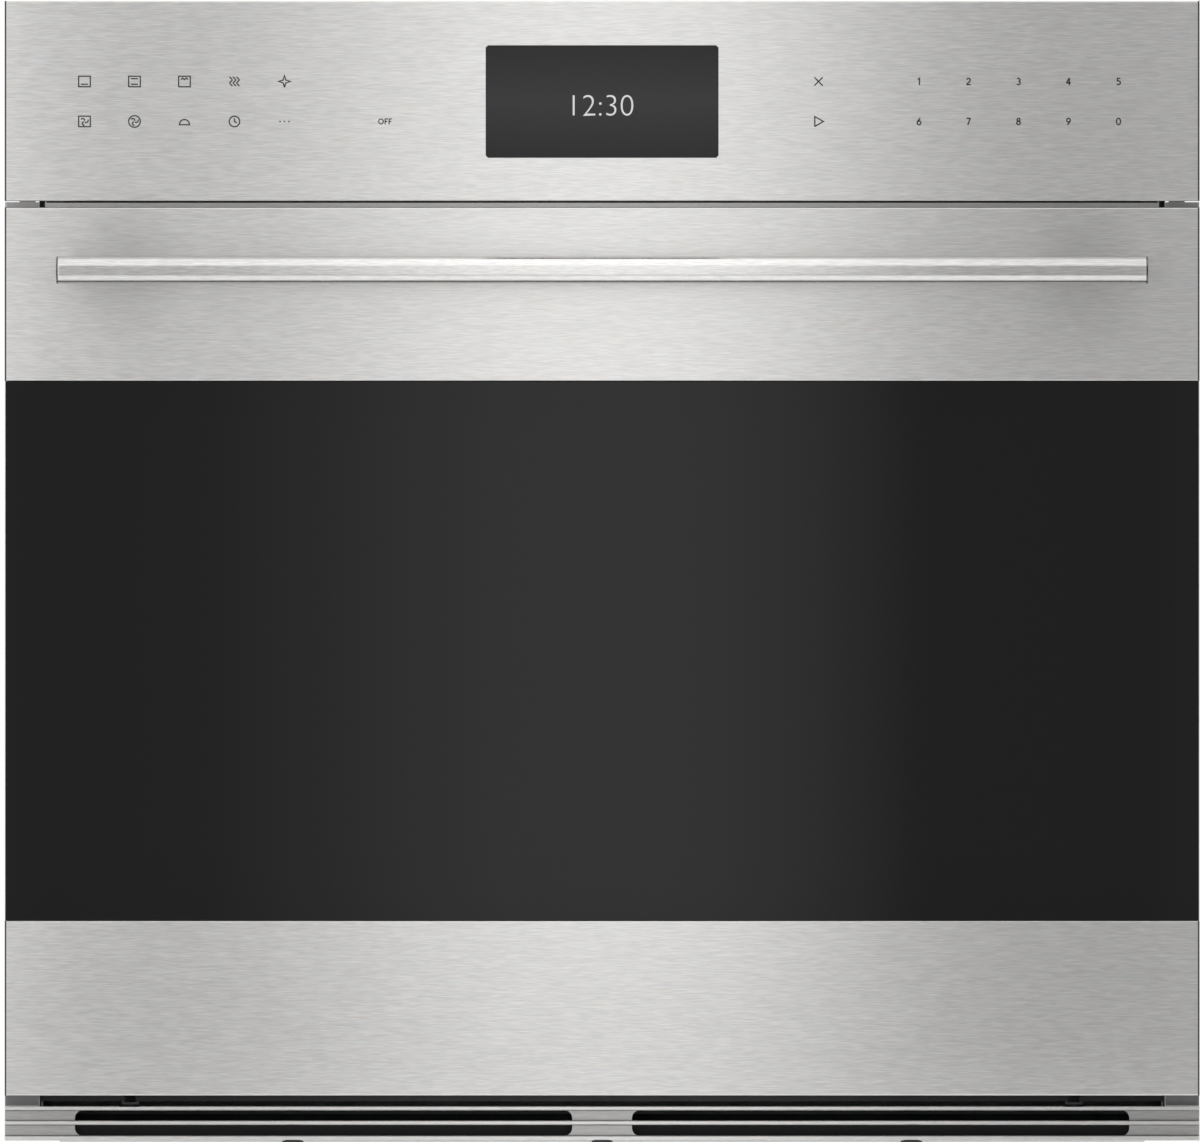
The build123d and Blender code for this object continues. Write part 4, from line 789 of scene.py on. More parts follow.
# The frame's own nodes that keep their shape, by finish
NODE_FINISHES = {
    "brushed_steel": ("control_fascia", "door_upper_skin", "door_lower_skin"),
    "trim_steel": ("bottom_vent_trim",),
    "rail_steel": ("upper_rail",),
    "door_glass": ("door_outer_glass",),
    "display_window": ("display_glass",),
    "galvanised_sheet": ("base_pan", "top_cover", "back_cover", "junction_plate", "component_deck",
                         "blower_housing"),
    "casing_side": ("side_panels",),
    "flange_sheet": ("side_trims",),
    "frame_enamel": ("front_frame", "door_side_rails", "door_frame"),
    "cavity_enamel": ("cavity_liner", "convection_baffle"),
    "fan_aluminium": ("left_fan", "right_fan", "blower_wheel"),
    "motor_paint": ("convection_motors", "blower_motor", "latch_motor"),
    "plated_steel": ("control_bracket", "lamp_housings", "spring_rods", "glass_spacer", "handle_screws",
                     "latch_hook"),
    "hinge_steel": ("hinge_arms", "hinge_receivers", "hinge_channels", "hinge_pins"),
    "glass_wool": ("insulation_blanket", "door_insulation"),
    "circuit_board": ("control_board", "relay_board"),
    "black_plastic": ("terminal_block", "switch_plunger", "switch_housing"),
    "pane_glass": ("door_inner_glass", "door_middle_glass"),
}


class OVEN_OT_finishes(bpy.types.Operator):
    """Make the finishes and put them on the frame's own nodes"""

    bl_idname = "oven.finishes"
    bl_label = "Finishes"

    def execute(self, context):
        colours = context.scene.oven_colours
        steel = (tuple(colours.steel_dark), tuple(colours.steel_light))
        enamel = (tuple(colours.enamel), tuple(colours.speckle))
        # Depth of the painted black shade along the front edge of the casing sides
        casing_shade_depth = 8 * MM
        FINISHES.update(
            brushed_steel=face_finish(*steel),
            handle_steel=bar_finish(*steel),
            rail_steel=rail_finish(*steel),
            trim_steel=trim_finish(*steel),
            door_glass=door_glass_finish(tuple(colours.door_black)),
            display_window=display_finish(tuple(colours.display_grey)),
            galvanised_sheet=galvanised_finish("galvanised_sheet", CAD_BOX[0][1]),
            casing_side=galvanised_finish("casing_side", casing_shade_depth),
            flange_sheet=flange_finish(),
            motor_paint=painted_finish("motor_paint", (0.03, 0.03, 0.032), 0.45),
            frame_enamel=enamel_finish("frame_enamel", SHADE_AND_ENAMEL_BLACK, (0.05, 0.05, 0.055), 300.0, 0.16),
            cavity_enamel=enamel_finish("liner_enamel", *enamel, 330.0, 0.14),
            fan_aluminium=plated_finish("fan_sheet", (0.60, 0.61, 0.62), (0.80, 0.81, 0.81), 0.28),
            plated_steel=plated_finish("plated_parts", (0.42, 0.42, 0.41), (0.66, 0.65, 0.62), 0.3),
            hinge_steel=plated_finish("hinge_oxide", (0.07, 0.07, 0.072), (0.13, 0.13, 0.133), 0.4),
            rack_wire=wire_finish(),
            heating_tube=element_finish(),
            gasket_braid=gasket_finish(),
            glass_wool=fibre_finish(),
            circuit_board=circuit_finish(),
            black_plastic=moulded_finish("black_plastic", (0.03, 0.03, 0.03), 0.42),
            bumper_rubber=moulded_finish("bumper_rubber", (0.022, 0.022, 0.022), 0.66),
            pane_glass=clear_glass_finish("pane_glass", (0.05, 0.055, 0.055), 0.34, 0.02),
            lamp_glass=clear_glass_finish("lamp_glass", (0.80, 0.82, 0.80), 0.62, 0.2),
            key_ink=ink_finish(tuple(colours.ink)),
            clock_light=clock_finish(tuple(colours.clock_white)),
        )
        for name, nodes in NODE_FINISHES.items():
            for node in nodes:
                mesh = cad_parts[node].data
                mesh.materials.clear()
                mesh.materials.append(FINISHES[name])
        return {"FINISHED"}


# Handle, racks, tubes and small pieces

def post_profile(radius, height, flare):
    """A post with a flared foot: r(t) = radius + flare (1 - sin t) at the height flare (1 - cos t)."""
    t = quarter(7)
    foot = np.column_stack([radius + flare * (1 - np.sin(t)), flare * (1 - np.cos(t))])
    return np.concatenate([foot, [[radius, height]]])


class OVEN_OT_handle(bpy.types.Operator):
    """Make the round handle bar and the two posts that carry it"""

    bl_idname = "oven.handle"
    bl_label = "Handle"

    def execute(self, context):
        sizes = context.scene.oven_sizes
        low, high, middle = span("handle_bar")
        radius = (high[2] - low[2]) / 2
        ends = [(x, low[1] + radius, middle[2]) for x in (low[0], high[0])]
        shape = bar(*ends, radius, sizes.bar_edge, sides=96, binormal=(0, 0, 1))
        piece("handle_round_bar", shape, "handle_steel", "door", "handle_bar")

        low, high, middle = span("handle_posts")
        post = (high[2] - low[2]) / 2
        profile = post_profile(post, high[1] - low[1], sizes.post_flare)
        posts = [turned(profile, (x, high[1], middle[2]), (0, -1, 0), sides=56)
                 for x in (low[0] + post, high[0] - post)]
        piece("handle_round_posts", joined(posts), "handle_steel", "door", "handle_posts")
        return {"FINISHED"}


def rack_shape(node, rods, bend):
    """A wire rack: a rounded loop, straight rods laid on it and two cross wires under the rods."""
    low, high, middle = span(node)
    wire = 3.0 * MM
    thin = 2.0 * MM
    cross = 2.5 * MM
    edge = 0.5 * MM
    half_width = high[0] - wire
    half_depth = (high[1] - low[1]) / 2 - wire
    front = low[1] + wire
    back = high[1] - wire
    rod_z = high[2] - thin
    cross_z = rod_z - thin - cross
    end = half_width - wire
    path = at_height(loop(half_width, half_depth, bend, steps=12) + (0, middle[1]), low[2] + wire)
    shapes = [tube(path, wire, (0, 0, 1), sides=16, closed=True)]
    for x in np.linspace(-1, 1, rods) * (half_width - bend):
        shapes.append(bar((x, front, rod_z), (x, back, rod_z), thin, edge, sides=12))
    for y in (middle[1] - half_depth / 2, middle[1] + half_depth / 2):
        shapes.append(bar((-end, y, cross_z), (end, y, cross_z), cross, edge, sides=14))
    return joined(shapes)


def ladder_shape(node):
    """Rack ladders: on each side two posts, and five levels of two rails beside them."""
    low, high, _ = span(node)
    post = 3.0 * MM
    rail = 2.5 * MM
    clearance = 0.05 * MM
    edge = 0.8 * MM
    levels = 5
    step = 74 * MM
    pair = 14 * MM
    first = low[2] + 2 * pair
    shapes = []
    for side in (-1, 1):
        post_x = side * (high[0] - post)
        rail_x = side * (high[0] - 2 * post - rail - clearance)
        for y in (low[1] + 2 * post, high[1] - 2 * post):
            shapes.append(bar((post_x, y, low[2]), (post_x, y, high[2]), post, edge, sides=16))
        for level in range(levels):
            for z in (first + level * step, first + level * step + pair):
                shapes.append(bar((rail_x, low[1], z), (rail_x, high[1], z), rail, edge, sides=16))
    return joined(shapes)


class OVEN_OT_racks(bpy.types.Operator):
    """Make the two wire racks and the ladders that they slide on"""

    bl_idname = "oven.racks"
    bl_label = "Racks and ladders"

    def execute(self, context):
        sizes = context.scene.oven_sizes
        for body in ("lower_rack", "upper_rack"):
            shape = rack_shape(body, sizes.rack_rods, sizes.rack_bend)
            piece(body + "_wires", shape, "rack_wire", body, body)
        shape = ladder_shape("rack_ladders")
        piece("ladder_wires", shape, "rack_wire", "casing", "rack_ladders")
        return {"FINISHED"}


TUBE_RADIUS = 3.2 * MM


def level_tube(turns, bend, z):
    """A heating tube bent in a level plane."""
    return tube(at_height(bent(turns, bend), z), TUBE_RADIUS, (0, 0, 1), sides=18)


def fan_ring(fan, front, back):
    """A ring about a fan, open at its top, with two legs to the back: centre + R (sin a, cos a)."""
    radius = 84 * MM
    gap = radians(12)
    centre = span(fan)[2]
    turn = np.linspace(gap, 2 * pi - gap, 72)
    path = np.column_stack([centre[0] + radius * np.sin(turn), np.full(len(turn), front + TUBE_RADIUS),
                            centre[2] + radius * np.cos(turn)])
    shapes = [tube(path, TUBE_RADIUS, (0, 1, 0), sides=16)]
    for end in (path[0], path[-1]):
        start = end - (0, TUBE_RADIUS, 0)
        shapes.append(bar(start, (end[0], back, end[2]), TUBE_RADIUS, 1.2 * MM, sides=16))
    return joined(shapes)


class OVEN_OT_elements(bpy.types.Operator):
    """Make the bent heating tubes and the temperature probe"""

    bl_idname = "oven.elements"
    bl_label = "Heating tubes"

    def execute(self, context):
        sizes = context.scene.oven_sizes
        low, high, middle = span("broil_element")
        half = high[0] - TUBE_RADIUS
        inner = half / 3
        front = low[1] + TUBE_RADIUS
        rear = front + 340 * MM
        turns = [(-half, high[1]), (-half, front), (-inner, front), (-inner, rear), (inner, rear),
                 (inner, front), (half, front), (half, high[1])]
        shape = level_tube(turns, sizes.element_bend, middle[2])
        piece("upper_heating_tube", shape, "heating_tube", "casing", "broil_element")

        low, high, middle = span("bake_element")
        half = high[0] - TUBE_RADIUS
        front = low[1] + TUBE_RADIUS
        turns = [(-half, high[1]), (-half, front), (half, front), (half, high[1])]
        shape = level_tube(turns, sizes.floor_element_bend, middle[2])
        piece("floor_heating_tube", shape, "heating_tube", "casing", "bake_element")

        low, high, _ = span("convection_elements")
        rings = [fan_ring(fan, low[1], high[1]) for fan in ("left_fan", "right_fan")]
        piece("fan_heating_rings", joined(rings), "heating_tube", "casing", "convection_elements")

        low, high, middle = span("temperature_sensor")
        collar = (high[2] - low[2]) / 2
        stem = 2.4 * MM
        liner_sheet = 1.2 * MM
        wall = span("cavity_liner")[1][1] - liner_sheet
        x, _, z = middle
        shape = joined([bar((x, high[1], z), (x, low[1], z), stem, 1.6 * MM, sides=18),
                        bar((x, wall, z), (x, wall - collar, z), collar, 1.0 * MM, sides=24)])
        piece("temperature_probe", shape, "plated_steel", "casing", "temperature_sensor")
        return {"FINISHED"}


def seal_shape(node):
    """A crowned profile carried round a rounded rectangle: point(s, a) = loop(s) + across(a) out(s).

    It rises towards the door by 0.12 + 0.88 sin(a)^0.8 of its depth and has a flat foot."""
    low, high, middle = span(node)
    depth = high[1] - low[1]
    half = 5 * MM
    bend = 41 * MM
    foot = 0.96 * half
    flat = loop(high[0] - half, (high[2] - low[2]) / 2 - half, bend, steps=24)
    along = unit(np.roll(flat, -1, axis=0) - np.roll(flat, 1, axis=0))
    out = np.column_stack([along[:, 1], -along[:, 0]])
    a = np.linspace(0, pi, 15)
    across = np.concatenate([-np.cos(a) * half, [foot, -foot]])
    rise = np.concatenate([0.12 * depth + np.sin(a) ** 0.8 * 0.88 * depth, [0, 0]])
    x = flat[:, None, 0] + across[None, :] * out[:, None, 0]
    z = flat[:, None, 1] + middle[2] + across[None, :] * out[:, None, 1]
    y = np.broadcast_to(high[1] - rise[None, :], x.shape)
    points = np.stack([x, y, z], axis=-1)
    return points.reshape(-1, 3), grid_faces(len(flat), len(across), wrap_rows=True)


class OVEN_OT_gasket(bpy.types.Operator):
    """Make the braided door seal"""

    bl_idname = "oven.gasket"
    bl_label = "Door seal"

    def execute(self, context):
        shape = seal_shape("door_gasket")
        piece("door_seal", shape, "gasket_braid", "casing", "door_gasket", crease=60)
        return {"FINISHED"}


def coil(x, y, low, high, radius, wire, turns):
    """A spring wound upwards: centre + R (cos a, sin a) with a and the height growing evenly."""
    points_per_turn = 20
    t = np.linspace(0, 1, turns * points_per_turn + 1)
    a = 2 * pi * turns * t
    z = low + wire + t * (high - low - 2 * wire)
    path = np.column_stack([x + radius * np.cos(a), y + radius * np.sin(a), z])
    return tube(path, wire, (0, 0, 1), sides=8)


class OVEN_OT_springs(bpy.types.Operator):
    """Make the two coiled door springs"""

    bl_idname = "oven.springs"
    bl_label = "Door springs"

    def execute(self, context):
        sizes = context.scene.oven_sizes
        low, high, middle = span("hinge_springs")
        outer = (high[1] - low[1]) / 2
        wire = sizes.spring_wire
        coils = [coil(x, middle[1], low[2], high[2], outer - wire, wire, sizes.spring_turns)
                 for x in (low[0] + outer, high[0] - outer)]
        made = piece("door_spring_coils", joined(coils), "plated_steel", "door",
                     "hinge_springs")
        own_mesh(made)
        return {"FINISHED"}


def hung(node, profile, places, sides):
    """A profile turned downwards from the top of a node's box, at each place along X."""
    _, high, middle = span(node)
    return joined([turned(profile, (x, middle[1], high[2]), (0, 0, -1), sides) for x in places])


def lens_profile(radius, drop):
    """A rim and a dome: r(t) = radius cos(t)^0.6 at the height drop (0.2 + 0.8 sin t)."""
    t = quarter(12)[1:-1]
    rim = [[radius, 0.0], [radius, drop * 0.2]]
    return np.concatenate([rim, np.column_stack([radius * np.cos(t) ** 0.6, drop * (0.2 + 0.8 * np.sin(t))])])


def bulb_profile(radius, length):
    """A neck, a straight wall and a round end: r(t) = radius cos t at the height straight + radius sin t."""
    t = quarter(12)[:-1]
    straight = length - radius
    neck = [[radius * 0.6, 0.0], [radius * 0.6, 0.2 * straight], [radius, 0.4 * straight]]
    return np.concatenate([neck, np.column_stack([radius * np.cos(t), straight + radius * np.sin(t)])])


def pad_profile(radius, height):
    """A round pad whose lower edge is rounded: r(t) = radius - edge (1 - cos t)."""
    t = quarter(7)
    edge = height * 0.4
    lower = np.column_stack([radius - edge * (1 - np.cos(t)), height - edge * (1 - np.sin(t))])
    return np.concatenate([[[radius, 0.0]], lower])


class OVEN_OT_lamps(bpy.types.Operator):
    """Make the domed lamp glasses and their bulbs"""

    bl_idname = "oven.lamps"
    bl_label = "Lamps"

    def execute(self, context):
        for name, node, profile, sides in (("lamp_glasses", "lamp_lenses", lens_profile, 56),
                                           ("lamp_capsules", "lamp_bulbs", bulb_profile, 32)):
            low, high, _ = span(node)
            radius = (high[1] - low[1]) / 2
            places = (low[0] + radius, high[0] - radius)
            shape = hung(node, profile(radius, high[2] - low[2]), places, sides)
            piece(name, shape, "lamp_glass", "casing", node)
        return {"FINISHED"}


class OVEN_OT_bumpers(bpy.types.Operator):
    """Make the soft round pads under the trim"""

    bl_idname = "oven.bumpers"
    bl_label = "Trim pads"

    def execute(self, context):
        low, high, _ = span("trim_bumpers")
        radius = (high[1] - low[1]) / 2
        places = (low[0] + radius, 0.0, high[0] - radius)
        pads = hung("trim_bumpers", pad_profile(radius, high[2] - low[2]), places, sides=48)
        piece("trim_pads", pads, "bumper_rubber", "casing", "trim_bumpers")
        return {"FINISHED"}


def screw_head(centre, axis, radius, height):
    """A domed head with a cross recess: h(r, a) = height (1 - 0.4 (r/R)^4), less the cross in its middle."""
    sides = 48
    arm_width = 0.13
    arm_length = 0.55
    recess = 0.42 * height
    ring = np.linspace(0.03, 1, 15)[:, None]
    a = around(sides)[None, :]
    x = ring * np.cos(a)
    y = ring * np.sin(a)
    dome = height * (1 - 0.4 * ring ** 4 + 0 * a)
    near = np.minimum(np.abs(x), np.abs(y))
    far = np.maximum(np.abs(x), np.abs(y))
    top = np.where((near < arm_width) & (far < arm_length), recess, dome)
    axis, u, v = square_to(axis)
    centre = np.asarray(centre, float)
    points = centre + radius * (x[..., None] * u + y[..., None] * v) + top[..., None] * axis
    foot = centre + radius * (np.cos(a.T) * u + np.sin(a.T) * v)
    grid = np.concatenate([foot[None], points[::-1]])
    return grid.reshape(-1, 3), grid_faces(len(grid), sides) + end_faces(len(grid), sides)


class OVEN_OT_screws(bpy.types.Operator):
    """Make the cross-head screws of the back and top covers"""

    bl_idname = "oven.screws"
    bl_label = "Cover screws"

    def execute(self, context):
        low, high, _ = span("back_cover")
        top = span("top_cover")[1][2]
        head = 4.5 * MM
        rise = 2.2 * MM
        inset = 14 * MM
        front = 29 * MM
        shapes = []
        for x in (inset - high[0], high[0] - inset):
            for z in (low[2] + inset, top / 2, high[2] - inset):
                shapes.append(screw_head((x, high[1], z), (0, 1, 0), head, rise))
            for y in (front, high[1] - inset):
                shapes.append(screw_head((x, y, top), (0, 0, 1), head, rise))
        piece("cover_screws", joined(shapes), "plated_steel", "casing", "casing_screws",
              crease=30)
        return {"FINISHED"}


# Marks of the keys and the clock

def ring_of(radius, start=0.0, end=360.0, count=25, centre=(0.0, 0.0)):
    """Points of an arc drawn in X and Z: centre + radius (cos a, sin a)."""
    a = np.radians(np.linspace(start, end, count))
    return np.column_stack([centre[0] + radius * np.cos(a), centre[1] + radius * np.sin(a)])


def blade(turn):
    """A half round blade of a fan symbol, turned about the symbol's middle."""
    radius = 0.17
    centre = (radius * np.cos(np.radians(turn)), radius * np.sin(np.radians(turn)))
    return ring_of(radius, 200 + turn, 360 + turn, 13, centre)


BOX_LINE = [(-0.5, -0.45), (0.5, -0.45), (0.5, 0.45), (-0.5, 0.45), (-0.5, -0.47)]
BASE_LINE = [(-0.3, -0.24), (0.3, -0.24)]
TOP_LINE = [(-0.3, 0.24), (0.3, 0.24)]
WAVE_X = np.linspace(-0.35, 0.35, 25)
BLADES = [blade(turn) for turn in (30, 150, 270)]

# Cooking symbols as strokes in a square of side 1
SYMBOLS = {
    "bottom_heat": [BOX_LINE, BASE_LINE],
    "both_heats": [BOX_LINE, BASE_LINE, TOP_LINE],
    "top_heat": [BOX_LINE, [(-0.3, 0.16), (-0.15, 0.3), (0.0, 0.16), (0.15, 0.3), (0.3, 0.16)]],
    "keep_warm": [np.column_stack([0.1 * np.sin(WAVE_X * 14) + x, WAVE_X * 1.2]) for x in (-0.3, 0.0, 0.3)],
    "self_clean": [[(0, -0.5), (0.12, -0.12), (0.5, 0), (0.12, 0.12), (0, 0.5), (-0.12, 0.12), (-0.5, 0),
                    (-0.12, -0.12), (0, -0.5)]],
    "fan_bake": [BOX_LINE, *BLADES],
    "fan_roast": [ring_of(0.5, count=37), *BLADES],
    "rising_dough": [ring_of(0.42, 0, 180, 25, (0, -0.25)), [(-0.5, -0.28), (0.5, -0.28)]],
    "timer": [ring_of(0.45, count=33), [(0.0, 0.28), (0.0, 0.0), (0.2, -0.12)]],
    "more": [[(x - 0.07, 0.0), (x + 0.07, 0.0)] for x in (-0.38, 0.0, 0.38)],
    "clear": [[(-0.36, -0.36), (0.36, 0.36)], [(-0.36, 0.36), (0.36, -0.36)]],
    "start": [[(-0.32, -0.42), (0.42, 0.0), (-0.32, 0.42), (-0.32, -0.44)]],
}
SYMBOL_ROWS = (
    ("bottom_heat", "both_heats", "top_heat", "keep_warm", "self_clean"),
    ("fan_bake", "fan_roast", "rising_dough", "timer", "more"),
)
SYMBOL_STROKE = 0.115

# Numbers and letters as strokes in a box of height 1
FIGURES = {
    "0": [ring_of(0.5) * (0.64, 1.0)],
    "1": [[(-0.2, 0.3), (0.07, 0.5), (0.07, -0.58)]],
    "2": [[*ring_of(0.27, 170, -35, 13, (0, 0.23)), (-0.26, -0.45)], [(-0.34, -0.5), (0.34, -0.5)]],
    "3": [ring_of(0.235, 150, -90, 15, (0, 0.265)), ring_of(0.27, 90, -150, 17, (0, -0.23))],
    "4": [[(0.12, -0.58), (0.12, 0.55)], [(0.1, 0.5), (-0.32, -0.22)], [(-0.38, -0.22), (0.36, -0.22)]],
    "5": [[(0.28, 0.5), (-0.16, 0.5), (-0.22, 0.06)], ring_of(0.3, 130, -145, 17, (-0.02, -0.2))],
    "6": [ring_of(0.29, centre=(0, -0.21)), [(0.17, 0.56), (-0.24, -0.06)]],
    "7": [[(-0.32, 0.5), (0.32, 0.5)], [(0.27, 0.5), (-0.12, -0.58)]],
    "8": [ring_of(0.22, centre=(0, 0.28)), ring_of(0.275, centre=(0, -0.225))],
    "9": [ring_of(0.29, centre=(0, 0.21)), [(-0.17, -0.56), (0.24, 0.06)]],
    "O": [ring_of(0.5) * (0.92, 1.0)],
    "F": [[(-0.24, -0.58), (-0.24, 0.5), (0.3, 0.5)], [(-0.24, 0.02), (0.22, 0.02)]],
}
NUMBER_ROWS = ("12345", "67890")

# Letters of the off key and their places, in letter heights
OFF_LETTERS = (("O", -0.8), ("F", 0.27), ("F", 1.06))

# Metres per pixel of the front drawing, and its pixels at the face's middle and top, the marks and the view
PIXEL = 0.6352 * MM
CENTRE_COLUMN = 602.1
TOP_ROW = 0.9
KEY_ROWS = (81.5, 121.5)
SYMBOL_COLUMNS = (84.5, 134.5, 184.5, 234.5, 284.5)
OFF_COLUMN = 385
START_COLUMN = 818.5
NUMBER_COLUMNS = (919, 968.5, 1018.5, 1068.5, 1118.5)
CLOCK_COLUMN = 603
CLOCK_ROW = 105.5
VIEW_COLUMN = 600
VIEW_ROW = 571


def panel_x(column):
    """Place across the face of a column of the drawing, in metres."""
    return (column - CENTRE_COLUMN) * PIXEL


def panel_z(row):
    """Height of a row of the drawing, in metres."""
    return span("control_fascia")[1][2] - (row - TOP_ROW) * PIXEL


def written(text, height, x, y, z, swell):
    """Figures as a flat mesh of a given height, centred on a point of the panel."""
    figure_share = 0.72
    curve = bpy.data.curves.new("figure", "FONT")
    curve.body = text
    curve.align_x = "CENTER"
    curve.align_y = "CENTER"
    curve.size = height / figure_share
    curve.offset = swell
    holder = bpy.data.objects.new("figure", curve)
    bpy.context.scene.collection.objects.link(holder)
    bpy.context.view_layer.update()
    mesh = bpy.data.meshes.new_from_object(holder)
    bpy.data.objects.remove(holder)
    points = np.empty(len(mesh.vertices) * 3)
    mesh.vertices.foreach_get("co", points)
    points = points.reshape(-1, 3)
    faces = [list(face.vertices) for face in mesh.polygons]
    flat = points - (points.min(axis=0) + points.max(axis=0)) / 2
    placed = np.column_stack([flat[:, 0] + x, np.full(len(flat), y), flat[:, 1] + z])
    bpy.data.meshes.remove(mesh)
    return placed, faces


class OVEN_OT_keys(bpy.types.Operator):
    """Print the key numbers and the cooking symbols on the control panel"""

    bl_idname = "oven.keys"
    bl_label = "Key marks"

    def execute(self, context):
        sizes = context.scene.oven_sizes
        face = span("control_fascia")[0][1] - sizes.ink_lift
        figure, word = [(height * (1 - sizes.ink_stroke), height * sizes.ink_stroke)
                        for height in (sizes.figure_height, sizes.word_height)]
        symbol = (sizes.symbol_size, SYMBOL_STROKE * sizes.symbol_size)
        marks = []
        for row, names in zip(KEY_ROWS, NUMBER_ROWS):
            for name, column in zip(names, NUMBER_COLUMNS):
                marks.append((FIGURES[name], *figure, panel_x(column), panel_z(row)))
        for name, shift in OFF_LETTERS:
            marks.append((FIGURES[name], *word, panel_x(OFF_COLUMN) + shift * word[0], panel_z(KEY_ROWS[1])))
        for row, names in zip(KEY_ROWS, SYMBOL_ROWS):
            for name, column in zip(names, SYMBOL_COLUMNS):
                marks.append((SYMBOLS[name], *symbol, panel_x(column), panel_z(row)))
        for row, name in zip(KEY_ROWS, ("clear", "start")):
            marks.append((SYMBOLS[name], *symbol, panel_x(START_COLUMN), panel_z(row)))
        shapes = []
        for lines, size, stroke, x, z in marks:
            for line in lines:
                points, faces = ribbon(np.asarray(line) * size, stroke)
                shapes.append((points + (x, face, z), faces))
        piece("key_marks", joined(shapes), "key_ink", "casing", thickness=sizes.ink_lift)
        return {"FINISHED"}


class OVEN_OT_clock(bpy.types.Operator):
    """Light the clock's figures on the display"""

    bl_idname = "oven.clock"
    bl_label = "Clock"

    def execute(self, context):
        sizes = context.scene.oven_sizes
        face = span("display_glass")[0][1] - sizes.ink_lift
        thinner = -0.35 * MM
        place = (panel_x(CLOCK_COLUMN), face, panel_z(CLOCK_ROW))
        shape = written("12:30", sizes.clock_height, *place, thinner)
        piece("clock_figures", shape, "clock_light", "casing", thickness=sizes.ink_lift)
        return {"FINISHED"}


# Studio

# Brightness of the front card across its width, from 0 at its left edge to 1 at its right
CARD_TONES = (
    (0.0, 0.1), (0.17, 0.15), (0.2, 2.35), (0.28, 2.35), (0.3, 0.85), (0.335, 0.54), (0.385, 0.62),
    (0.411, 0.82), (0.44, 1.07), (0.47, 1.32), (0.515, 1.36), (0.535, 1.3), (0.563, 1.01), (0.595, 0.51),
    (0.66, 0.49), (0.7, 0.72), (0.75, 0.72), (0.79, 0.15), (1.0, 0.1),
)

# Brightness of the card over the front, which lights the upper side of the handle
TOP_CARD_TONES = (
    (0.0, 1.1), (0.3, 1.0), (0.36, 0.82), (0.43, 0.82), (0.47, 1.08), (0.53, 1.08), (0.57, 0.73),
    (0.64, 0.73), (0.7, 1.0), (1.0, 1.1),
)

# Brightness of the card on the floor, which lights the underside of the handle
LOW_CARD_TONES = ((0.0, 1.0), (0.35, 1.1), (0.5, 1.35), (0.65, 1.1), (1.0, 0.95))

# Places of the cards in metres: half widths, depths from front to back, and heights
CARD_SIDE = 1.1
CARD_FRONT = -0.65
CARD_TOP = 1.0
LOW_CARD_DEPTH = (-0.54, -0.06)
TOP_CARD_SIDE = 1.6
TOP_CARD_DEPTH = (-1.5, 0.2)
TOP_CARD_HEIGHT = 1.5
FLAG_BACK = 0.02

SENSOR_WIDTH = 36.0
WHITE = (1.0, 1.0, 1.0, 1.0)


def box_faces(low, high):
    """Points, edges and faces of a box without its foot, or of a flat sheet where the corners are level."""
    points = [(x, y, z) for x in (low[0], high[0]) for y in (low[1], high[1]) for z in (low[2], high[2])]
    if low[2] == high[2]:
        return points, [], [[0, 4, 6, 2]]
    return points, [], [[0, 1, 3, 2], [4, 6, 7, 5], [0, 4, 5, 1], [2, 3, 7, 6], [1, 5, 7, 3]]


def level_corners(side, depth, z):
    """Corners of a level card."""
    front, back = depth
    return [(-side, front, z), (-side, back, z), (side, back, z), (side, front, z)]


def unseen_card(name, corners, finish, lights_dull=False):
    """A flat card that lights or darkens what reflects it, and that neither the camera nor a shadow shows."""
    mesh = bpy.data.meshes.new(name)
    mesh.from_pydata(corners, [], [[0, 1, 2, 3]])
    mesh.materials.append(finish)
    card = bpy.data.objects.new(name, mesh)
    card.visible_camera = False
    card.visible_shadow = False
    card.visible_diffuse = lights_dull
    bpy.context.scene.collection.objects.link(card)


def glow_card(name, tones, strength, corners, dimmed=1.0, lights_dull=False):
    """A glowing card whose brightness follows its X and is dimmed towards the floor."""
    glow = Finish(name + "_glow")
    dim_below = -50 * MM
    full_above = 150 * MM
    x, _, z = glow.axes()
    width = corners[2][0] - corners[0][0]
    tone = glow.node("ShaderNodeValToRGB", {"stops": tones}, {"Fac": x * (1 / width) + 0.5})
    level = glow.node("ShaderNodeMapRange", None, {"Value": z, "From Min": dim_below, "From Max": full_above,
                                                   "To Min": dimmed, "To Max": 1.0})
    light = glow.node("ShaderNodeEmission", None, {"Color": tone, "Strength": level * strength})
    glow.node("ShaderNodeOutputMaterial", None, {"Surface": light})
    unseen_card(name, corners, glow.material, lights_dull)


def side_flag(name, x, floor_z):
    """A black card beside the oven that draws a dark line along the rounded edges of the steel."""
    felt = Finish(name + "_felt")
    felt.surface(Base_Color=felt.mix((0.01, 0.01, 0.01), (0.02, 0.02, 0.02), felt.noise(200)),
                 Roughness=1.0, Specular_IOR_Level=0.0)
    corners = [(x, CARD_FRONT, floor_z), (x, CARD_FRONT, CARD_TOP), (x, FLAG_BACK, CARD_TOP),
               (x, FLAG_BACK, floor_z)]
    unseen_card(name, corners, felt.material)


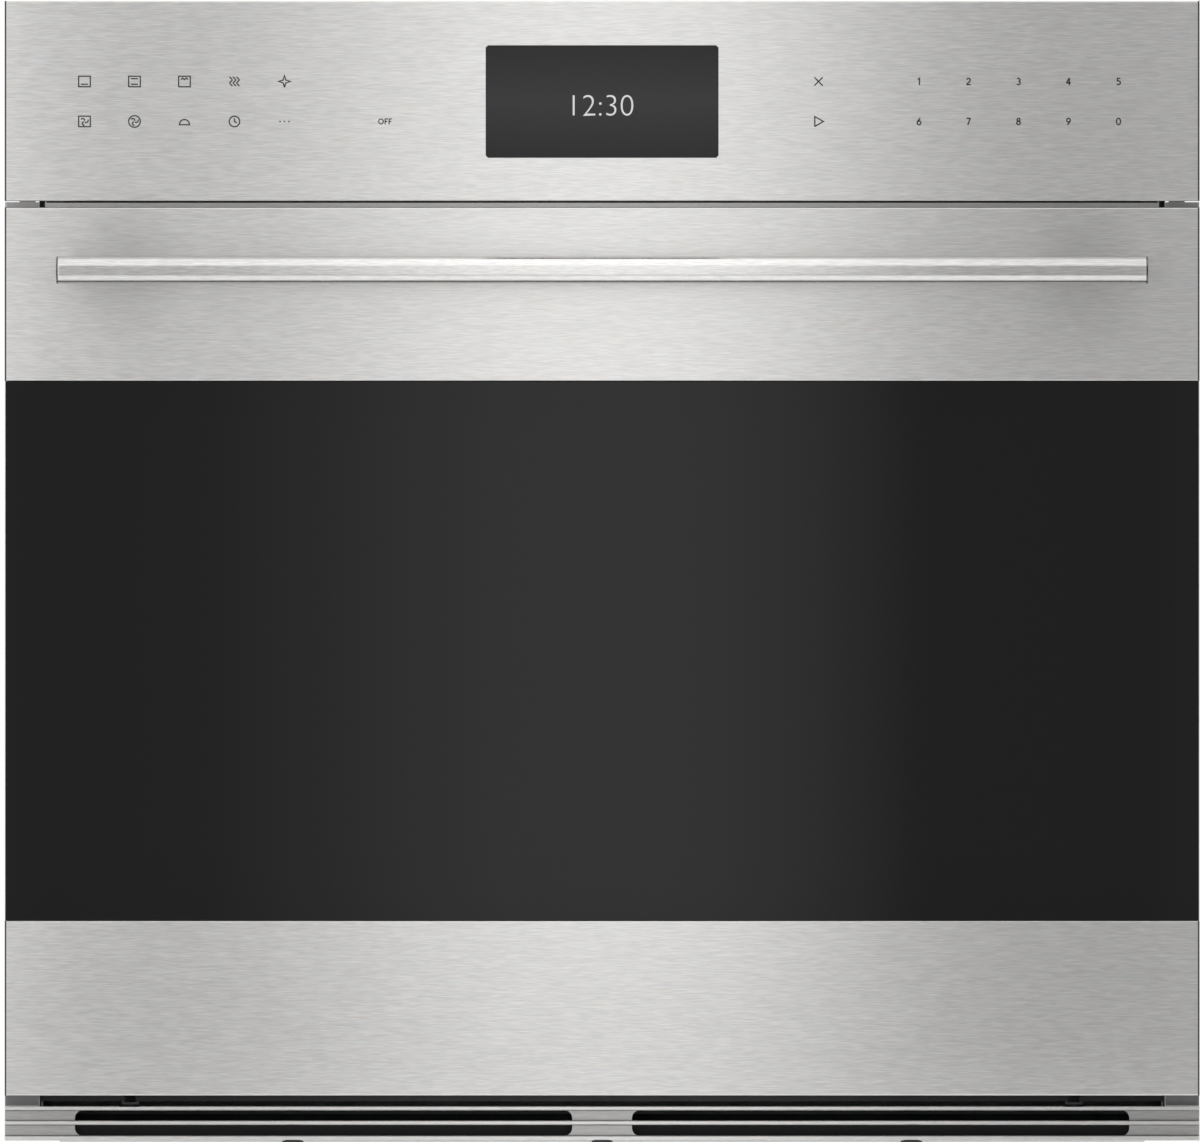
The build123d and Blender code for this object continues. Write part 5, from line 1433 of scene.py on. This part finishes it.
class OVEN_OT_stage(bpy.types.Operator):
    """Set up the pale floor, the block under the casing, the soft light and the camera"""

    bl_idname = "oven.stage"
    bl_label = "Stage"

    def execute(self, context):
        scene = context.scene
        stage = scene.oven_stage
        floor_z = -stage.block_height
        reach = stage.floor_reach
        inset = stage.block_inset
        block_front = 2 * MM
        block_gap = 0.1 * MM
        card_lift = 1 * MM
        low, high, _ = span("base_pan")
        paper = Finish("studio_paper")
        paper.surface(Base_Color=paper.mix((0.76, 0.76, 0.76), (0.8, 0.8, 0.8), paper.noise(2)),
                      Roughness=0.9, Emission_Color=WHITE, Emission_Strength=0.2)
        sheets = {
            "studio_floor": ((-reach, -reach, floor_z), (reach, reach, floor_z)),
            "studio_block": ((low[0] + inset, block_front, floor_z),
                             (high[0] - inset, high[1] - inset, low[2] - block_gap)),
        }
        for name, corners in sheets.items():
            mesh = bpy.data.meshes.new(name)
            mesh.from_pydata(*box_faces(*corners))
            mesh.materials.append(paper.material)
            made = bpy.data.objects.new(name, mesh)
            scene.collection.objects.link(made)

        front_corners = [(-CARD_SIDE, CARD_FRONT, floor_z), (-CARD_SIDE, CARD_FRONT, CARD_TOP),
                         (CARD_SIDE, CARD_FRONT, CARD_TOP), (CARD_SIDE, CARD_FRONT, floor_z)]
        low_corners = level_corners(CARD_SIDE, LOW_CARD_DEPTH, floor_z + card_lift)
        top_corners = level_corners(TOP_CARD_SIDE, TOP_CARD_DEPTH, TOP_CARD_HEIGHT)
        glow_card("front_card", CARD_TONES, stage.card_light, front_corners, dimmed=0.54)
        glow_card("low_card", LOW_CARD_TONES, stage.low_light, low_corners)
        glow_card("top_card", TOP_CARD_TONES, stage.top_light, top_corners, lights_dull=True)
        side_flag("left_flag", -CARD_SIDE, floor_z)
        side_flag("right_flag", CARD_SIDE, floor_z)

        world = bpy.data.worlds.new("studio_air")
        world.use_nodes = True
        air = world.node_tree.nodes["Background"]
        air.inputs["Color"].default_value = WHITE
        air.inputs["Strength"].default_value = stage.air_light
        scene.world = world

        lens = bpy.data.cameras.new("front_camera")
        lens.lens = stage.lens
        lens.sensor_width = SENSOR_WIDTH
        lens.clip_end = 200.0
        distance = stage.view_width * stage.lens / SENSOR_WIDTH
        place = (panel_x(VIEW_COLUMN), span("control_fascia")[0][1] - distance, panel_z(VIEW_ROW))
        camera = bpy.data.objects.new("front_camera", lens)
        camera.matrix_world = Matrix.Translation(place) @ Matrix.Rotation(radians(90), 4, "X")
        scene.collection.objects.link(camera)
        scene.camera = camera
        scene.view_settings.view_transform = "Standard"
        return {"FINISHED"}


class OVEN_PT_panel(bpy.types.Panel):
    """Lists the oven's pieces and their settings"""

    bl_idname = "OVEN_PT_panel"
    bl_label = "Wall oven"
    bl_space_type = "VIEW_3D"
    bl_region_type = "UI"
    bl_category = "Wall oven"

    def draw(self, context):
        for operator in STEPS:
            self.layout.operator(operator.bl_idname)
        for group in (context.scene.oven_sizes, context.scene.oven_colours, context.scene.oven_stage):
            box = self.layout.box()
            for name in group.__annotations__:
                box.prop(group, name)


STEPS = (OVEN_OT_finishes, OVEN_OT_handle, OVEN_OT_racks, OVEN_OT_elements, OVEN_OT_gasket, OVEN_OT_springs,
         OVEN_OT_lamps, OVEN_OT_bumpers, OVEN_OT_screws, OVEN_OT_keys, OVEN_OT_clock, OVEN_OT_stage)
CLASSES = (OvenSizes, OvenColours, StageSettings) + STEPS + (OVEN_PT_panel,)


def register():
    for cls in CLASSES:
        bpy.utils.register_class(cls)
    bpy.types.Scene.oven_sizes = bpy.props.PointerProperty(type=OvenSizes)
    bpy.types.Scene.oven_colours = bpy.props.PointerProperty(type=OvenColours)
    bpy.types.Scene.oven_stage = bpy.props.PointerProperty(type=StageSettings)


def unregister():
    del bpy.types.Scene.oven_stage
    del bpy.types.Scene.oven_colours
    del bpy.types.Scene.oven_sizes
    for cls in reversed(CLASSES):
        bpy.utils.unregister_class(cls)


def main():
    """Makes every piece and the stage."""
    register()
    bpy.ops.oven.finishes()
    bpy.ops.oven.handle()
    bpy.ops.oven.racks()
    bpy.ops.oven.elements()
    bpy.ops.oven.gasket()
    bpy.ops.oven.springs()
    bpy.ops.oven.lamps()
    bpy.ops.oven.bumpers()
    bpy.ops.oven.screws()
    bpy.ops.oven.keys()
    bpy.ops.oven.clock()
    bpy.ops.oven.stage()


if __name__ == "__main__":
    main()
